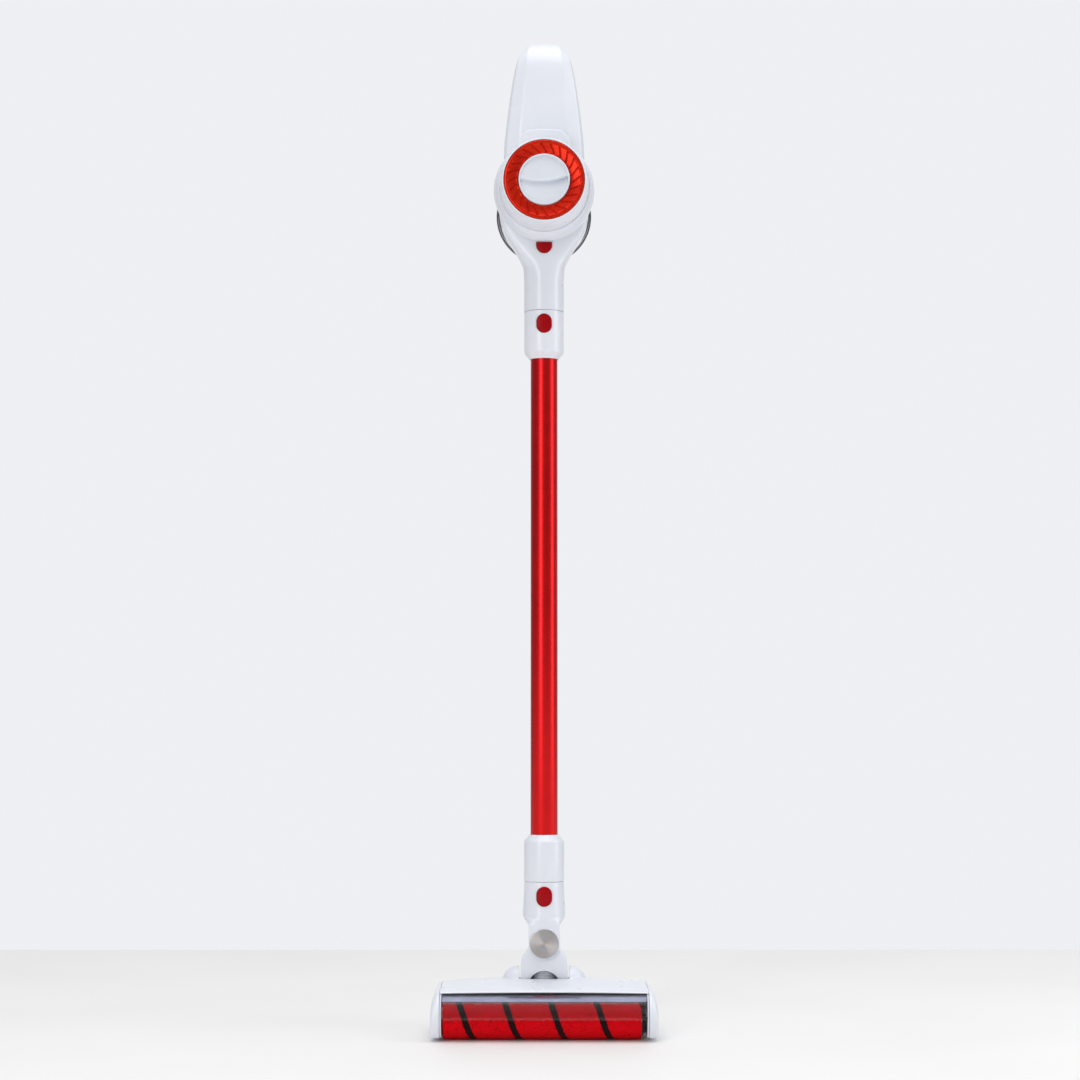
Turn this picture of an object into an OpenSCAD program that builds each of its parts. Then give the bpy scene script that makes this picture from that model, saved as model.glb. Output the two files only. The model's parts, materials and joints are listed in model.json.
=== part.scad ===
// Cordless stick vacuum: hand-held cleaner with a cyclone cup and battery, wand and powered floor head.
// Millimetres. +Z is up and the front faces -Y. The origin lies on the floor, under the middle of the
// whole. Every part is drawn about the stick's own vertical axis, which on_stick() puts in its place.

/* [Layout] */
// Height of the hand-held cleaner's centre line above the floor
hub_z = 955; // [900:5:1000]
// Width of the floor head
head_w = 250; // [248:1:262]

/* [Wand] */
// Outer radius of the wand's tube
tube_r = 15.5; // [14.8:0.1:15.8]
// Wall of the wand's tube
tube_wall = 1.2; // [0.8:0.1:1.4]
// Outer radius of the collars at both ends of the wand
collar_r = 23; // [22.8:0.1:23.6]

/* [Hub] */
// Radius of the drum behind the motor housing
drum_r = 53; // [52.6:0.1:53.2]
// Number of slots in the exhaust ring
slot_count = 24; // [20:1:28]
// Number of blades on the impeller
blade_count = 9; // [5:1:13]

/* [Floor head] */
// Radius of the plush roller
roller_r = 25; // [23:0.5:26]
// Radius of the two rear wheels
wheel_r = 13; // [12:0.5:13]

/* [Fits] */
// Wall thickness of the moulded covers
wall = 2.4; // [2:0.1:2.6]
// Gap between neighbouring pieces
gap = 0.3; // [0.2:0.05:0.4]
// Radial clearance of shafts and pins in their bores
run = 0.06; // [0.02:0.01:0.1]
// Travel of the release buttons
press = 1.6; // [1:0.1:1.8]

/* [Hidden] */
$fn = 96;

white = "#EEF0F4";
shade_white = "#DDE1E8";
grey = "#8C9096";
dark = "#2B2D30";
red = "#C3141C";
deep_red = "#8E0912";
steel = "#B9BCC0";
smoke = [0.25, 0.26, 0.28, 0.45];

// The stick's axis sits this far from the origin, so that the origin is under the middle of the whole
front_reach = 101.5;
back_reach = 118;
stick_y = (front_reach - back_reach) / 2;

// Heights along the stick
spigot_top = hub_z - 91;
upper_seam = hub_z - 134.4;
upper_collar_bottom = hub_z - 189.5;
tube_top = hub_z - 159;
tube_bottom = 207;
lower_collar_top = 220.3;
lower_seam = 167.6;
fork_top = 119.5;
roll_z = 99;
tilt_z = 55;

// The handle's and the battery's heights are measured from here
grip_z = hub_z + 8;

// Press buttons on the front of the stick
button_w = 17.4;
button_h = 22;
button_front = -24.6;
button_back = -19.4;
pocket_back = button_back + press + 0.8;
spring_wire = 0.25;
wand_button_z = hub_z - 150.3;
neck_button_z = 151.5;
cup_button_z = hub_z - 58;

// Depths along the hub's axis, measured from the stick's axis
cover_front = -97.5;
ring_front = -98;
knob_front = -100;
hub_front = -60;
hub_back = -21.5;
drum_front = -21.2;
divider_front = 20;
divider_back = 22.2;
cup_front = 24.3;
cup_back = 88;
lid_back = 110;

// Housing around the motor: a bulged band, its section an arc
bulge_r = 41.4;
bulge_centre = [16.4, -38.9];

// Floor head
roller_y = -72;
roller_z = 25;
chamber_r = roller_r + 2.6;
shell_x = 114.8;
plate_t = 1.9;
cap_x = 115.1;
motor_y = -22;
motor_z = 30;
pulley_r = 14;
pinion_r = 7;
wheel_y = 5;
wheel_x = 50;
wheel_w = 10;
slot_x = 28.5;
hose_r = 12;
duct_z = 39;

module on_stick() translate([0, stick_y, 0]) children();

// Turns a profile (radius, depth) about the hub's axis
module about_y(z) translate([0, 0, z]) rotate([-90, 0, 0]) rotate_extrude() children();

// Extrudes a side outline (y, z) from x0 to x1
module along_x(x0, x1) translate([x0, 0, 0]) rotate([90, 0, 90]) linear_extrude(x1 - x0) children();

// Extrudes a front outline (x, z) from y0 to y1
module along_y(y0, y1) translate([0, y1, 0]) rotate([90, 0, 0]) linear_extrude(y1 - y0) children();

module rod_x(r, x0, x1, y, z) translate([x0, y, z]) rotate([0, 90, 0]) cylinder(r = r, h = x1 - x0);

module rod_y(r, y0, y1, x, z) translate([x, y0, z]) rotate([-90, 0, 0]) cylinder(r = r, h = y1 - y0);

module rod_z(r, z0, z1, x = 0, y = 0) translate([x, y, z0]) cylinder(r = r, h = z1 - z0);

module box(low, high) translate(low) cube(high - low);

// A ring's profile for rotate_extrude
module band(r0, r1, t0, t1) translate([r0, t0]) square([r1 - r0, t1 - t0]);

module rounded_rect(w, d, r) {
    square([w - 2 * r, d], center = true);
    square([w, d - 2 * r], center = true);
    for (sx = [-1, 1], sy = [-1, 1]) translate([sx * (w / 2 - r), sy * (d / 2 - r)]) circle(r);
}

// Closed surface over rings of points that all have the same count. The ends are strips between the
// first and the second half of the ring, so a section may be bent like a C.
module skin(rings, flip = false) {
    n = len(rings[0]);
    last = len(rings) - 1;
    sides = [for (i = [0:last - 1], j = [0:n - 1])
        [i * n + j, i * n + (j + 1) % n, (i + 1) * n + (j + 1) % n, (i + 1) * n + j]];
    strip = [for (k = [0:n / 2 - 2]) [k, k + 1, n - 2 - k, n - 1 - k]];
    ends = concat([for (f = strip) [f[3], f[2], f[1], f[0]]], [for (f = strip) f + last * n * [1, 1, 1, 1]]);
    faces = concat(sides, ends);
    polyhedron([for (ring = rings, p = ring) p],
        flip ? faces : [for (f = faces) [for (k = [len(f) - 1:-1:0]) f[k]]], convexity = 8);
}

// A point of a superellipse with half-widths a and b and exponent n
function oval_point(a, b, n, angle) =
    [a * sign(cos(angle)) * pow(abs(cos(angle)), 2 / n), b * sign(sin(angle)) * pow(abs(sin(angle)), 2 / n)];

// Coil spring along +Y from y0 to y1, round wire
module coil_spring(coil_r, wire_r, y0, y1, turns) {
    steps = 12 * turns;
    rings = [for (i = [0:steps]) let (a = i * 30, y = y0 + wire_r + (y1 - y0 - 2 * wire_r) * i / steps)
        [for (j = [0:5]) let (b = j * 60, r = coil_r + wire_r * cos(b))
            [r * cos(a), y + wire_r * sin(b), r * sin(a)]]];
    skin(rings, flip = true);
}

// ---- Hand-held cleaner: motor housing and exhaust ----

module bulge_profile(extra) intersection() {
    translate(bulge_centre) circle(bulge_r + extra);
    translate([30, hub_front - extra]) square([40, hub_back - hub_front + 2 * extra]);
}

module hub_shell() color(white) on_stick() about_y(hub_z) difference() {
    bulge_profile(0);
    translate(bulge_centre) circle(bulge_r - wall);
}

// Space that the housing and the drum take, widened by the gap, for cutting the handle
module hub_space() {
    about_y(hub_z) band(0, 52.6, hub_front - gap, hub_back + gap);
    about_y(hub_z) bulge_profile(gap);
    about_y(hub_z) band(0, drum_r + gap, drum_front - 0.4, divider_back + gap);
}

module exhaust_cover() color(white) on_stick() {
    ring_r = 45.7;
    about_y(hub_z) polygon([[ring_r, cover_front], [47.2, cover_front], [48, cover_front + 1],
        [52, hub_front - gap], [49.5, hub_front - gap], [ring_r, cover_front + 5.5]]);
    difference() {
        along_y(-62, -54.2)
            polygon([[-29, hub_z + 44], [29, hub_z + 44], [27, hub_z + 63], [22, hub_z + 69], [-22, hub_z + 69],
                [-27, hub_z + 63]]);
        hub_space();
        about_y(hub_z) band(0, 49.8, -63, -50);
    }
}

module exhaust_ring() color(red) on_stick() difference() {
    inner = 29.4;
    outer = 45.3;
    about_y(hub_z) polygon([[inner, -86], [inner, -96.6], [31, ring_front], [43.6, ring_front], [outer, -96.4],
        [outer, -86]]);
    for (i = [0:slot_count - 1]) translate([0, 0, hub_z]) rotate([0, i * 360 / slot_count, 0])
        translate([36.2, -92, 0]) rotate([0, -36, 0]) cube([12.6, 16, 1.7], center = true);
}

module filter_knob() color(shade_white) on_stick() difference() {
    knob_r = 28.8;
    about_y(hub_z) polygon([[0, -89.5], [knob_r, -89.5], [knob_r, knob_front + 1.4], [knob_r - 1.2, knob_front],
        [0, knob_front]]);
    along_x(-26.4, 26.4) polygon([[knob_front - 1, hub_z + 1.5], [knob_front + 5.4, hub_z - 1],
        [knob_front + 1, hub_z - 26], [knob_front - 1, hub_z - 26]]);
}

module hepa_filter() color("#F4F2EA") on_stick() {
    pleats = 40;
    outline = [for (i = [0:2 * pleats - 1]) let (r = i % 2 == 0 ? 27 : 22, a = i * 180 / pleats)
        [r * cos(a), r * sin(a)]];
    about_y(hub_z) band(14, 28, -89.5, -86.5);
    about_y(hub_z) band(14, 28, -66, -63);
    translate([0, 0, hub_z]) along_y(-87, -65.5) difference() {
        polygon(outline);
        circle(14);
    }
}

module motor_can() color(steel) on_stick() about_y(hub_z) difference() {
    band(0, 24, -58, -30);
    band(0, 2.5 + run, -59, -29);
}

module motor_shaft() color(steel) on_stick() rod_y(2.5, -56, -16, 0, hub_z);

module impeller() color(dark) on_stick() {
    about_y(hub_z) difference() {
        union() {
            band(0, 22, -28, -26.2);
            band(0, 8, -27, -17);
        }
        band(0, 2.5, -29, -16);
    }
    for (i = [0:blade_count - 1]) translate([0, 0, hub_z]) rotate([0, i * 360 / blade_count, 0])
        translate([7, -27, 0]) rotate([0, 24, 0]) cube([13, 8.5, 1.2]);
}

module motor_mount() color(grey) on_stick() difference() {
    about_y(hub_z) band(24.1, 53.5, -48, -43);
    for (i = [0:5]) rod_y(7, -49, -42, 39 * cos(60 * i + 30), hub_z + 39 * sin(60 * i + 30));
}

module control_board() color("#1F6B3A") on_stick() about_y(hub_z) band(14, 38, -59.8, -58.2);

// ---- Hand-held cleaner: body between the motor and the cup ----

// Half-width, half-depth and exponent of the neck's flare at each height below the hub's centre line
flare = [[-101, 23.4, 23.4, 2], [-96, 23.4, 23.3, 2], [-84.5, 24, 22.6, 2.3], [-75, 27.4, 21.8, 2.9],
    [-67, 31, 21.3, 4], [-63, 33, 21.3, 5], [-48, 43.6, 21.3, 7], [-31.5, 49.4, 21.3, 9],
    [-22, 49.6, 21.3, 9]];

function flare_ring(s) = [for (i = [0:35]) let (p = oval_point(s[1], s[2], s[3], i * 10))
    [p[0], p[1], hub_z + s[0]]];

module button_pocket(z) along_y(-30, pocket_back) translate([0, z]) oval_outline(gap);

module oval_outline(grow) {
    side = (button_h - button_w) / 2;
    for (s = [-1, 1]) translate([0, s * side]) circle(button_w / 2 + grow);
    square([button_w + 2 * grow, 2 * side], center = true);
}

module main_body() color(white) on_stick() {
    elbow_z = hub_z - 36.5;
    elbow_r = 16.2;
    bore_r = 14;
    screw_ring = 42;
    difference() {
        union() {
            about_y(hub_z) band(0, drum_r, drum_front, divider_back);
            rod_z(23.2, upper_seam + 0.2, hub_z - 100.4);
            skin([for (s = flare) flare_ring(s)]);
        }
        about_y(hub_z) band(0, drum_r - wall, drum_front - 1, divider_front);
        rod_z(19.3, upper_seam - 1, spigot_top + 2);
        rod_z(bore_r - 0.2, spigot_top, elbow_z);
        rod_y(bore_r, 10, divider_back + 1, 0, elbow_z);
        rod_y(18, divider_front - 1, divider_back + 1, 0, hub_z);
        cup_button_pocket();
        for (a = [30, 90, 150]) rod_y(3.2, 20.8, divider_back + 1, screw_ring * cos(a), hub_z + screw_ring * sin(a));
        for (a = [30, 90, 150]) rod_y(1.7, 19, divider_back + 1, screw_ring * cos(a), hub_z + screw_ring * sin(a));
    }
    difference() {
        union() {
            rod_z(elbow_r - 0.2, hub_z - 54, elbow_z + 15);
            rod_y(elbow_r, 0, divider_back - 0.6, 0, elbow_z);
        }
        rod_z(bore_r - 0.2, hub_z - 56, elbow_z + 13);
        rod_y(bore_r, 0, divider_back + 1, 0, elbow_z);
    }
    about_y(hub_z) band(18, 19.5, -14, divider_back);
    for (a = [30, 90, 150]) translate([screw_ring * cos(a), 0, screw_ring * sin(a)])
        about_y(hub_z) band(1.7, 3.4, 9, divider_front + 0.5);
}

module cup_button_outline(grow) intersection() {
    circle(9.9 + grow);
    translate([-12, -12]) square([24, 14 + grow]);
}

module cup_button_pocket() along_y(-30, pocket_back) translate([0, cup_button_z]) cup_button_outline(gap);

module housing_screws() color(steel) on_stick() for (a = [30, 90, 150]) {
    x = 42 * cos(a);
    z = hub_z + 42 * sin(a);
    difference() {
        rod_y(3, 20.9, 22.1, x, z);
        box([x - 2.2, 21.5, z - 0.4], [x + 2.2, 23, z + 0.4]);
        box([x - 0.4, 21.5, z - 2.2], [x + 0.4, 23, z + 2.2]);
    }
    rod_y(1.5, 11, 20.9, x, z);
}

module cup_release_button() color(deep_red) on_stick()
    along_y(button_front + 0.6, button_back) translate([0, cup_button_z]) cup_button_outline(0);

module cup_button_spring() color(steel) on_stick()
    translate([0, 0, cup_button_z - 2]) coil_spring(3, spring_wire, button_back, pocket_back, 2);

// ---- Handle ----

// Stations along the handle: y, height above grip_z, turn of the path from +Z towards +Y, half-width,
// half-depth. It climbs from the hub and bends back into the grip.
handle_path = [[-34, 22, 0, 44, 20], [-34, 40, 0, 43.3, 19.5], [-33.5, 73, 2, 40.3, 18],
    [-32, 107, 4, 36.5, 16.5], [-30.5, 127, 5, 33.8, 16.5], [-27.5, 140, 28, 31, 17],
    [-20, 149, 55, 27.5, 17.5], [-8, 153, 80, 23, 17.7], [8, 153.5, 92, 19, 17], [30, 152, 95, 17, 16.5],
    [55, 149, 97, 17, 16.5], [72, 147, 90, 17.5, 17]];
handle_steps = 2;
handle_points = 12;
handle_exponent = 2.6;

function between(p, i, t) = let (
    a = p[max(i - 1, 0)],
    b = p[i],
    c = p[min(i + 1, len(p) - 1)],
    d = p[min(i + 2, len(p) - 1)])
    0.5 * (2 * b + (c - a) * t + (2 * a - 5 * b + 4 * c - d) * t * t + (3 * b - a - 3 * c + d) * t * t * t);

// Open half of a tube's section: the outer arc, then the inner arc back
function half_section(s, side) = let (n = handle_points) concat(
    [for (k = [0:n]) handle_point(s, side, 0, 180 * k / n)],
    [for (k = [n:-1:0]) handle_point(s, side, wall, 180 * k / n)]);

function handle_point(s, side, inset, angle) = let (
    p = oval_point(s[3] - inset, s[4] - inset, handle_exponent, angle),
    v = side * (p[1] + gap / 2))
    [p[0], s[0] - cos(s[2]) * v, grip_z + s[1] + sin(s[2]) * v];

module handle_half(side) difference() {
    path = concat([for (i = [0:len(handle_path) - 2], t = [0:handle_steps - 1])
        between(handle_path, i, t / handle_steps)], [handle_path[len(handle_path) - 1]]);
    skin([for (s = path) half_section(s, side)], flip = side < 0);
    hub_space();
}

module handle_top_cover() color(white) on_stick() difference() {
    handle_half(1);
    translate([0, 15, grip_z + 160]) linear_extrude(20) rounded_rect(11.2, 14.2, 3);
}

module handle_grip_shell() color(shade_white) on_stick() difference() {
    handle_half(-1);
    box([-7.6, -6, grip_z + 120], [7.6, 20, grip_z + 150]);
}

module mode_button() color(grey) on_stick() translate([0, 15, grip_z]) {
    translate([0, 0, 166.5]) linear_extrude(4.6) rounded_rect(10.6, 13.6, 2.8);
    translate([0, 0, 165.5]) linear_extrude(1.1) rounded_rect(12.4, 15.4, 2.8);
}

module trigger() color(deep_red) on_stick() {
    along_x(-7, 7) translate([0, grip_z]) polygon([[-5, 141], [-5, 131], [-3.5, 125.5], [0.5, 122], [5, 123.5],
        [10, 127], [15, 128.5], [19, 128], [19, 141]]);
    box([-8.4, -6.5, grip_z + 140.4], [8.4, 20.5, grip_z + 142]);
}

module trigger_switch() color(dark) on_stick() {
    box([-4, 2, grip_z + 146.6], [4, 14, grip_z + 153]);
    box([-9, 0.5, grip_z + 152.5], [9, 15.5, grip_z + 154.5]);
}

module trigger_spring() color(steel) on_stick()
    translate([0, -3, grip_z + 142]) rotate([90, 0, 0]) coil_spring(2.2, spring_wire, 0, 10, 5);

// ---- Battery and its bay ----

module battery_bay() color(white) on_stick() {
    low = grip_z + 76;
    high = grip_z + 163;
    difference() {
        translate([0, 95.15, low]) linear_extrude(high - low) rounded_rect(68, 45.7, 7);
        translate([0, 93.9, low + 2.5]) linear_extrude(high) rounded_rect(64, 39.6, 5);
        box([-11, 115, low - 1], [11, 119, low + 40]);
    }
}

module battery_case() color(white) on_stick() {
    low = grip_z + 78.8;
    top = grip_z + 167;
    difference() {
        translate([0, 93.9, low]) linear_extrude(top - low) rounded_rect(63, 38.8, 4.6);
        translate([0, 93.9, low + 2.2]) linear_extrude(top - low - 8.2) rounded_rect(59, 34.8, 3);
        rod_z(5.1, top - 12, top + 1, 0, 103);
        translate([0, 83, top - 4]) linear_extrude(6) rounded_rect(17.6, 9.6, 2);
    }
}

module battery_cells() color("#3A7CA5") on_stick() for (x = [-18.6, 0, 18.6], y = [85.15, 102.65])
    rod_z(8.45, grip_z + 82, grip_z + 147, x, y);

module charge_jack() color(dark) on_stick() difference() {
    top = grip_z + 167;
    rod_z(5, top - 11.5, top, 0, 103);
    rod_z(2.8, top - 9.5, top + 1, 0, 103);
}

module battery_latch() color(grey) on_stick() translate([0, 83, grip_z + 164.6]) linear_extrude(4)
    rounded_rect(17, 9, 1.8);

// ---- Dust cup and cyclone ----

hinge_y = 88.15;
hinge_z = hub_z - 60.3;

module cup_wall() color(white) on_stick() {
    about_y(hub_z) band(50.9, 53.3, cup_front, cup_back);
    difference() {
        for (s = [-1, 1]) union() {
            rod_x(4, s * 10 - 4, s * 10 + 4, hinge_y, hinge_z);
            box([s * 10 - 4, hinge_y - 9, hinge_z - 0.5], [s * 10 + 4, hinge_y - 1, hub_z - 52.4]);
        }
        rod_x(2 + run / 2, -15, 15, hinge_y, hinge_z);
        box([-15, cup_back, hub_z - 57], [15, cup_back + 8, hub_z - 50]);
        about_y(hub_z) band(0, 52, 70, 110);
    }
    box([-9, 66, hub_z + 52.6], [9, 86, hub_z + 54.4]);
}

module cyclone_shroud() color(grey) on_stick() {
    holes = 24;
    difference() {
        union() {
            about_y(hub_z) band(19.2, 50.6, cup_front, cup_front + 2.2);
            about_y(hub_z) band(28.5, 30, cup_front, 78);
        }
        rod_y(14, cup_front - 1, cup_front + 3, 0, hub_z - 38);
        for (i = [0:holes - 1]) translate([0, 0, hub_z]) rotate([0, i * 360 / holes, 0])
            translate([27, 52, -1.4]) cube([5, 20, 2.8]);
    }
}

module cyclone_cone() color(dark) on_stick() about_y(hub_z)
    polygon([[22, 28], [24, 28], [24, 40], [15, 84], [13, 84], [22, 40]]);

module pre_filter() color("#D8D4C8") on_stick() about_y(hub_z) band(0, 17, 28.5, 46);

module lid_hinge_pin() color(steel) on_stick() rod_x(2, -14, 14, hinge_y, hinge_z);

module cup_lid() color(smoke) on_stick() {
    about_y(hub_z) polygon([[53.6, cup_back + gap], [55.7, cup_back + gap], [55.7, 103], [57.1, 104.4],
        [57.1, 107.5], [54.6, lid_back], [0, lid_back], [0, lid_back - 2.2], [53.6, lid_back - 2.2]]);
    difference() {
        union() {
            rod_x(4, -5.7, 5.7, hinge_y, hinge_z);
            box([-5.7, hinge_y + 0.6, hinge_z - 0.5], [5.7, hinge_y + 9, hub_z - 54.6]);
        }
        rod_x(2 + run, -6, 6, hinge_y, hinge_z);
        box([-6, hinge_y - 8, hub_z - 57.2], [6, cup_back + gap, hub_z - 50]);
        about_y(hub_z) band(0, 54.6, 80, 108);
    }
}

module lid_seal() color(dark) on_stick() about_y(hub_z) band(50.9, 53.3, cup_back + 0.1, cup_back + 2.2);

module lid_latch() color(grey) on_stick() along_x(-6, 6) translate([0, hub_z])
    polygon([[70, 54.8], [84, 54.8], [84, 56.3], [93, 56.3], [93, 57.4], [84, 58.4], [74, 58.4], [70, 56]]);

// ---- Wand ----

module wand_tube() color(red) on_stick() difference() {
    rod_z(tube_r, tube_bottom, tube_top);
    rod_z(tube_r - tube_wall, tube_bottom - 1, tube_top + 1);
}

module wand_upper_collar() color(white) on_stick() difference() {
    union() {
        translate([0, 0, upper_collar_bottom]) rotate_extrude()
            polygon([[0, 0], [collar_r - 7, 0], [collar_r - 5.6, 0.6], [collar_r, 6.4], [collar_r, 54.9], [0, 54.9]]);
        rod_z(18.8, upper_seam - 1, spigot_top);
    }
    rod_z(tube_r + 0.1, upper_collar_bottom - 1, tube_top + gap);
    rod_z(13.4, tube_top, spigot_top + 1);
    button_pocket(wand_button_z);
}

module wand_lower_collar() color(white) on_stick() difference() {
    translate([0, 0, lower_seam + 0.2]) rotate_extrude()
        polygon([[0, 0], [collar_r, 0], [collar_r, 46.6], [collar_r - 5.6, 52], [collar_r - 7, 52.5], [0, 52.5]]);
    rod_z(19.2, lower_seam - 1, 206);
    rod_z(tube_r + 0.1, 205, lower_collar_top + 1);
}

module wand_wire_duct() color(grey) on_stick() intersection() {
    box([-4.5, 9.6, tube_bottom + 3], [4.5, 14, tube_top - 3]);
    rod_z(tube_r - tube_wall - gap, tube_bottom, tube_top);
}

module wand_release_button() color(deep_red) on_stick()
    along_y(button_front, button_back) translate([0, wand_button_z]) oval_outline(0);

module wand_button_spring() color(steel) on_stick()
    translate([0, 0, wand_button_z]) coil_spring(3.5, spring_wire, button_back, pocket_back, 2);

// ---- Neck and swivel ----

// Height, half-width, half-depth and exponent of the neck's foot, which narrows to the fork
neck_foot = [[fork_top, 18, 24, 7], [124, 21, 24, 3.6], [129, 24.2, 24.2, 2]];

module neck_collar() color(white) on_stick() difference() {
    union() {
        rotate_extrude() polygon([[0, 128.8], [24.3, 128.8], [22.6, lower_seam], [0, lower_seam]]);
        skin([for (s = neck_foot) [for (i = [0:35]) let (p = oval_point(s[1], s[2], s[3], i * 10))
            [p[0], p[1], s[0]]]]);
        rod_z(18.8, lower_seam - 1, 205);
        for (s = [-1, 1]) {
            rod_y(17.6, s * 21.75 - 2.25, s * 21.75 + 2.25, 0, roll_z);
            box([-17.6, s * 21.75 - 2.25, roll_z], [17.6, s * 21.75 + 2.25, fork_top + 1]);
        }
    }
    rod_z(14.3, fork_top - 1, 206);
    for (s = [-1, 1]) rod_y(4.03, s * 21.4 - 2.1, s * 21.4 + 2.1, 0, roll_z);
    button_pocket(neck_button_z);
}

module swivel_cap() color(steel) on_stick() rod_y(16.4, -25.4, -24.05, 0, roll_z);

module swivel_pins() color(steel) on_stick()
    for (s = [-1, 1]) rod_y(4, s * 19.5 - 3.9, s * 19.5 + 3.9, 0, roll_z);

module neck_release_button() color(deep_red) on_stick()
    along_y(button_front - 0.6, button_back) translate([0, neck_button_z]) oval_outline(0);

module neck_button_spring() color(steel) on_stick()
    translate([0, 0, neck_button_z]) coil_spring(3.5, spring_wire, button_back, pocket_back, 2);

module yoke() color(white) on_stick() difference() {
    union() {
        along_y(-19.2, 19.2) {
            polygon([[-25.5, tilt_z], [25.5, tilt_z], [25.9, 70], [25.2, 80], [17.6, 90], [17.6, roll_z],
                [-17.6, roll_z], [-17.6, 90], [-25.2, 80], [-25.9, 70]]);
            translate([0, roll_z]) circle(17.6);
        }
        rod_x(19.2, -26.5, 26.5, 0, tilt_z);
    }
    rod_z(15.4, tilt_z - 20, roll_z + 20);
    rod_y(15.4, -20, 0, 0, 50);
    box([-15.4, -20, 30], [15.4, 0, 50]);
    for (s = [-1, 1]) rod_y(4 + run, s * 17.2 - 3, s * 17.2 + 3, 0, roll_z);
    for (s = [-1, 1]) rod_x(4.03, s * 22 - 6, s * 22 + 6, 0, tilt_z);
}

module tilt_pins() color(steel) on_stick()
    for (s = [-1, 1]) rod_x(4, s * 25.8 - 9, s * 25.8 + 9, 0, tilt_z);

module swivel_hose() color(grey) on_stick() translate([0, 0, 82]) rotate_extrude() {
    turns = 9;
    pitch = 4.1;
    band(12.8, 13.8, 0, turns * pitch + 0.3);
    for (i = [0:turns - 1]) translate([13.7, 1.9 + i * pitch]) circle(1.3, $fn = 24);
}

module tilt_hose() color(grey) on_stick() {
    bend = 17;
    difference() {
        union() {
            translate([0, -bend, tilt_z + 1]) rotate([0, 90, 0])
                rotate_extrude(angle = 90) translate([bend, 0]) circle(hose_r);
            rod_y(hose_r, -23.2, -bend, 0, duct_z);
        }
        translate([0, -bend, tilt_z + 1]) rotate([0, 90, 0])
            rotate_extrude(angle = 90) translate([bend, 0]) circle(hose_r - 1.6);
        rod_y(hose_r - 1.6, -24, -bend, 0, duct_z);
    }
}

// ---- Floor head ----

shell_top = [[-45, 58.3], [-20, 59.8], [0, 60.2], [12, 58.4], [19, 52.6], [22.6, 43], [23.6, 30]];
shell_inner = [[21.2, 30], [20.3, 42], [17.2, 50.6], [11.2, 56], [0, 57.7], [-20, 57.3], [-45, 55.8]];

module chamber_wall(r, t, from, to) {
    steps = 24;
    arc = [for (i = [0:steps]) from + (to - from) * i / steps];
    polygon(concat([for (a = arc) [roller_y + (r + t) * cos(a), roller_z + (r + t) * sin(a)]],
        [for (i = [steps:-1:0]) [roller_y + r * cos(arc[i]), roller_z + r * sin(arc[i])]]));
}

// Points of an arc about the roller's axis, as (y, z)
function roller_arc(r, from, to) = [for (i = [0:20]) let (a = from + (to - from) * i / 20)
    [roller_y + r * cos(a), roller_z + r * sin(a)]];

module end_plate_outline() {
    polygon(concat([[19.6, 3.5], [20.9, 6], [20.9, 30]], [for (i = [1:6]) shell_inner[i] - [0.3, 0.3]],
        [[-69, 54.1]], roller_arc(chamber_r + 1.8, 92, 227)));
}

module head_chassis() color(shade_white) on_stick() difference() {
    union() {
        along_x(-shell_x + 1, shell_x - 1) {
            chamber_wall(chamber_r, 1.6, -48, 90);
            translate([-53, 3.5]) square([73, 2.5]);
        }
        for (s = [-1, 1]) along_x(min(s * shell_x, s * (shell_x - plate_t)), max(s * shell_x, s * (shell_x - plate_t)))
            end_plate_outline();
        difference() {
            rod_y(14.2, -52, -25.5, 0, duct_z);
            rod_x(chamber_r + 0.5, -20, 20, roller_y, roller_z);
        }
        for (side = [-1, 1], x = [wheel_x - 1.9, wheel_x + wheel_w + 1.9]) {
            rod_x(5.4, side * x - 1.2, side * x + 1.2, wheel_y, wheel_r);
            box([side * x - 1.2, wheel_y - 4.6, 4], [side * x + 1.2, wheel_y + 4.6, wheel_r]);
        }
    }
    rod_y(12.6, -60, -25, 0, duct_z);
    for (side = [-1, 1]) {
        middle = side * (wheel_x + wheel_w / 2);
        box([middle - 5.6, wheel_y - 15, 2], [middle + 5.6, wheel_y + 13.8, 7]);
        rod_x(2.5 + run, middle - 9, middle + 9, wheel_y, wheel_r);
        rod_x(3 + run, side * 113.85 - 2, side * 113.85 + 2, roller_y, roller_z);
    }
    rod_x(4, -116, -112, motor_y, motor_z);
}

module head_top_shell() color(white) on_stick() {
    ear_r = 17.4;
    difference() {
        union() {
            along_x(-shell_x, shell_x) polygon(concat([[-71.5, 54.6], [-71.5, 55.6], [-70.5, 56.4]], shell_top,
                [[23.6, 8.2], [21.2, 8.2]], shell_inner, [[-69, 54.6]]));
            for (s = [-1, 1]) difference() {
                translate([s * slot_x, 0, tilt_z]) sphere(ear_r);
                box([-slot_x, -20, 30], [slot_x, 20, 80]);
            }
            for (s = [-1, 1]) along_x(s * 29.4 - 0.9, s * 29.4 + 0.9)
                polygon(concat([[-25.2, 8.2], [21.5, 8.2], [21.5, 30]], [for (i = [1:4]) shell_inner[i] + [0.2, 0.2]],
                    [[-25.2, 57.6]]));
            along_x(-30, 30) polygon([[-25.2, 8.2], [-23.4, 8.2], [-23.4, 58.5], [-25.2, 58.5]]);
        }
        box([-slot_x, -23.4, 0], [slot_x, 30, 80]);
        rod_y(12.6, -26, -23, 0, duct_z);
        for (s = [-1, 1]) rod_x(4 + run, s * 31.5 - 3.8, s * 31.5 + 3.8, 0, tilt_z);
    }
}

module visor() color([0.9, 0.92, 0.95, 0.3]) on_stick() along_x(-112.6, 112.6)
    chamber_wall(chamber_r, 1.7, 90.5, 182);

module cap_outline() polygon(concat([[14, 3.2], [21.8, 8], [21.8, 30], [20.8, 42], [17.5, 50.5], [11, 56]],
    [[0, 57.8], [-20, 57.6], [-45, 56.2]], roller_arc(29.5, 91, 227.5)));

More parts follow.
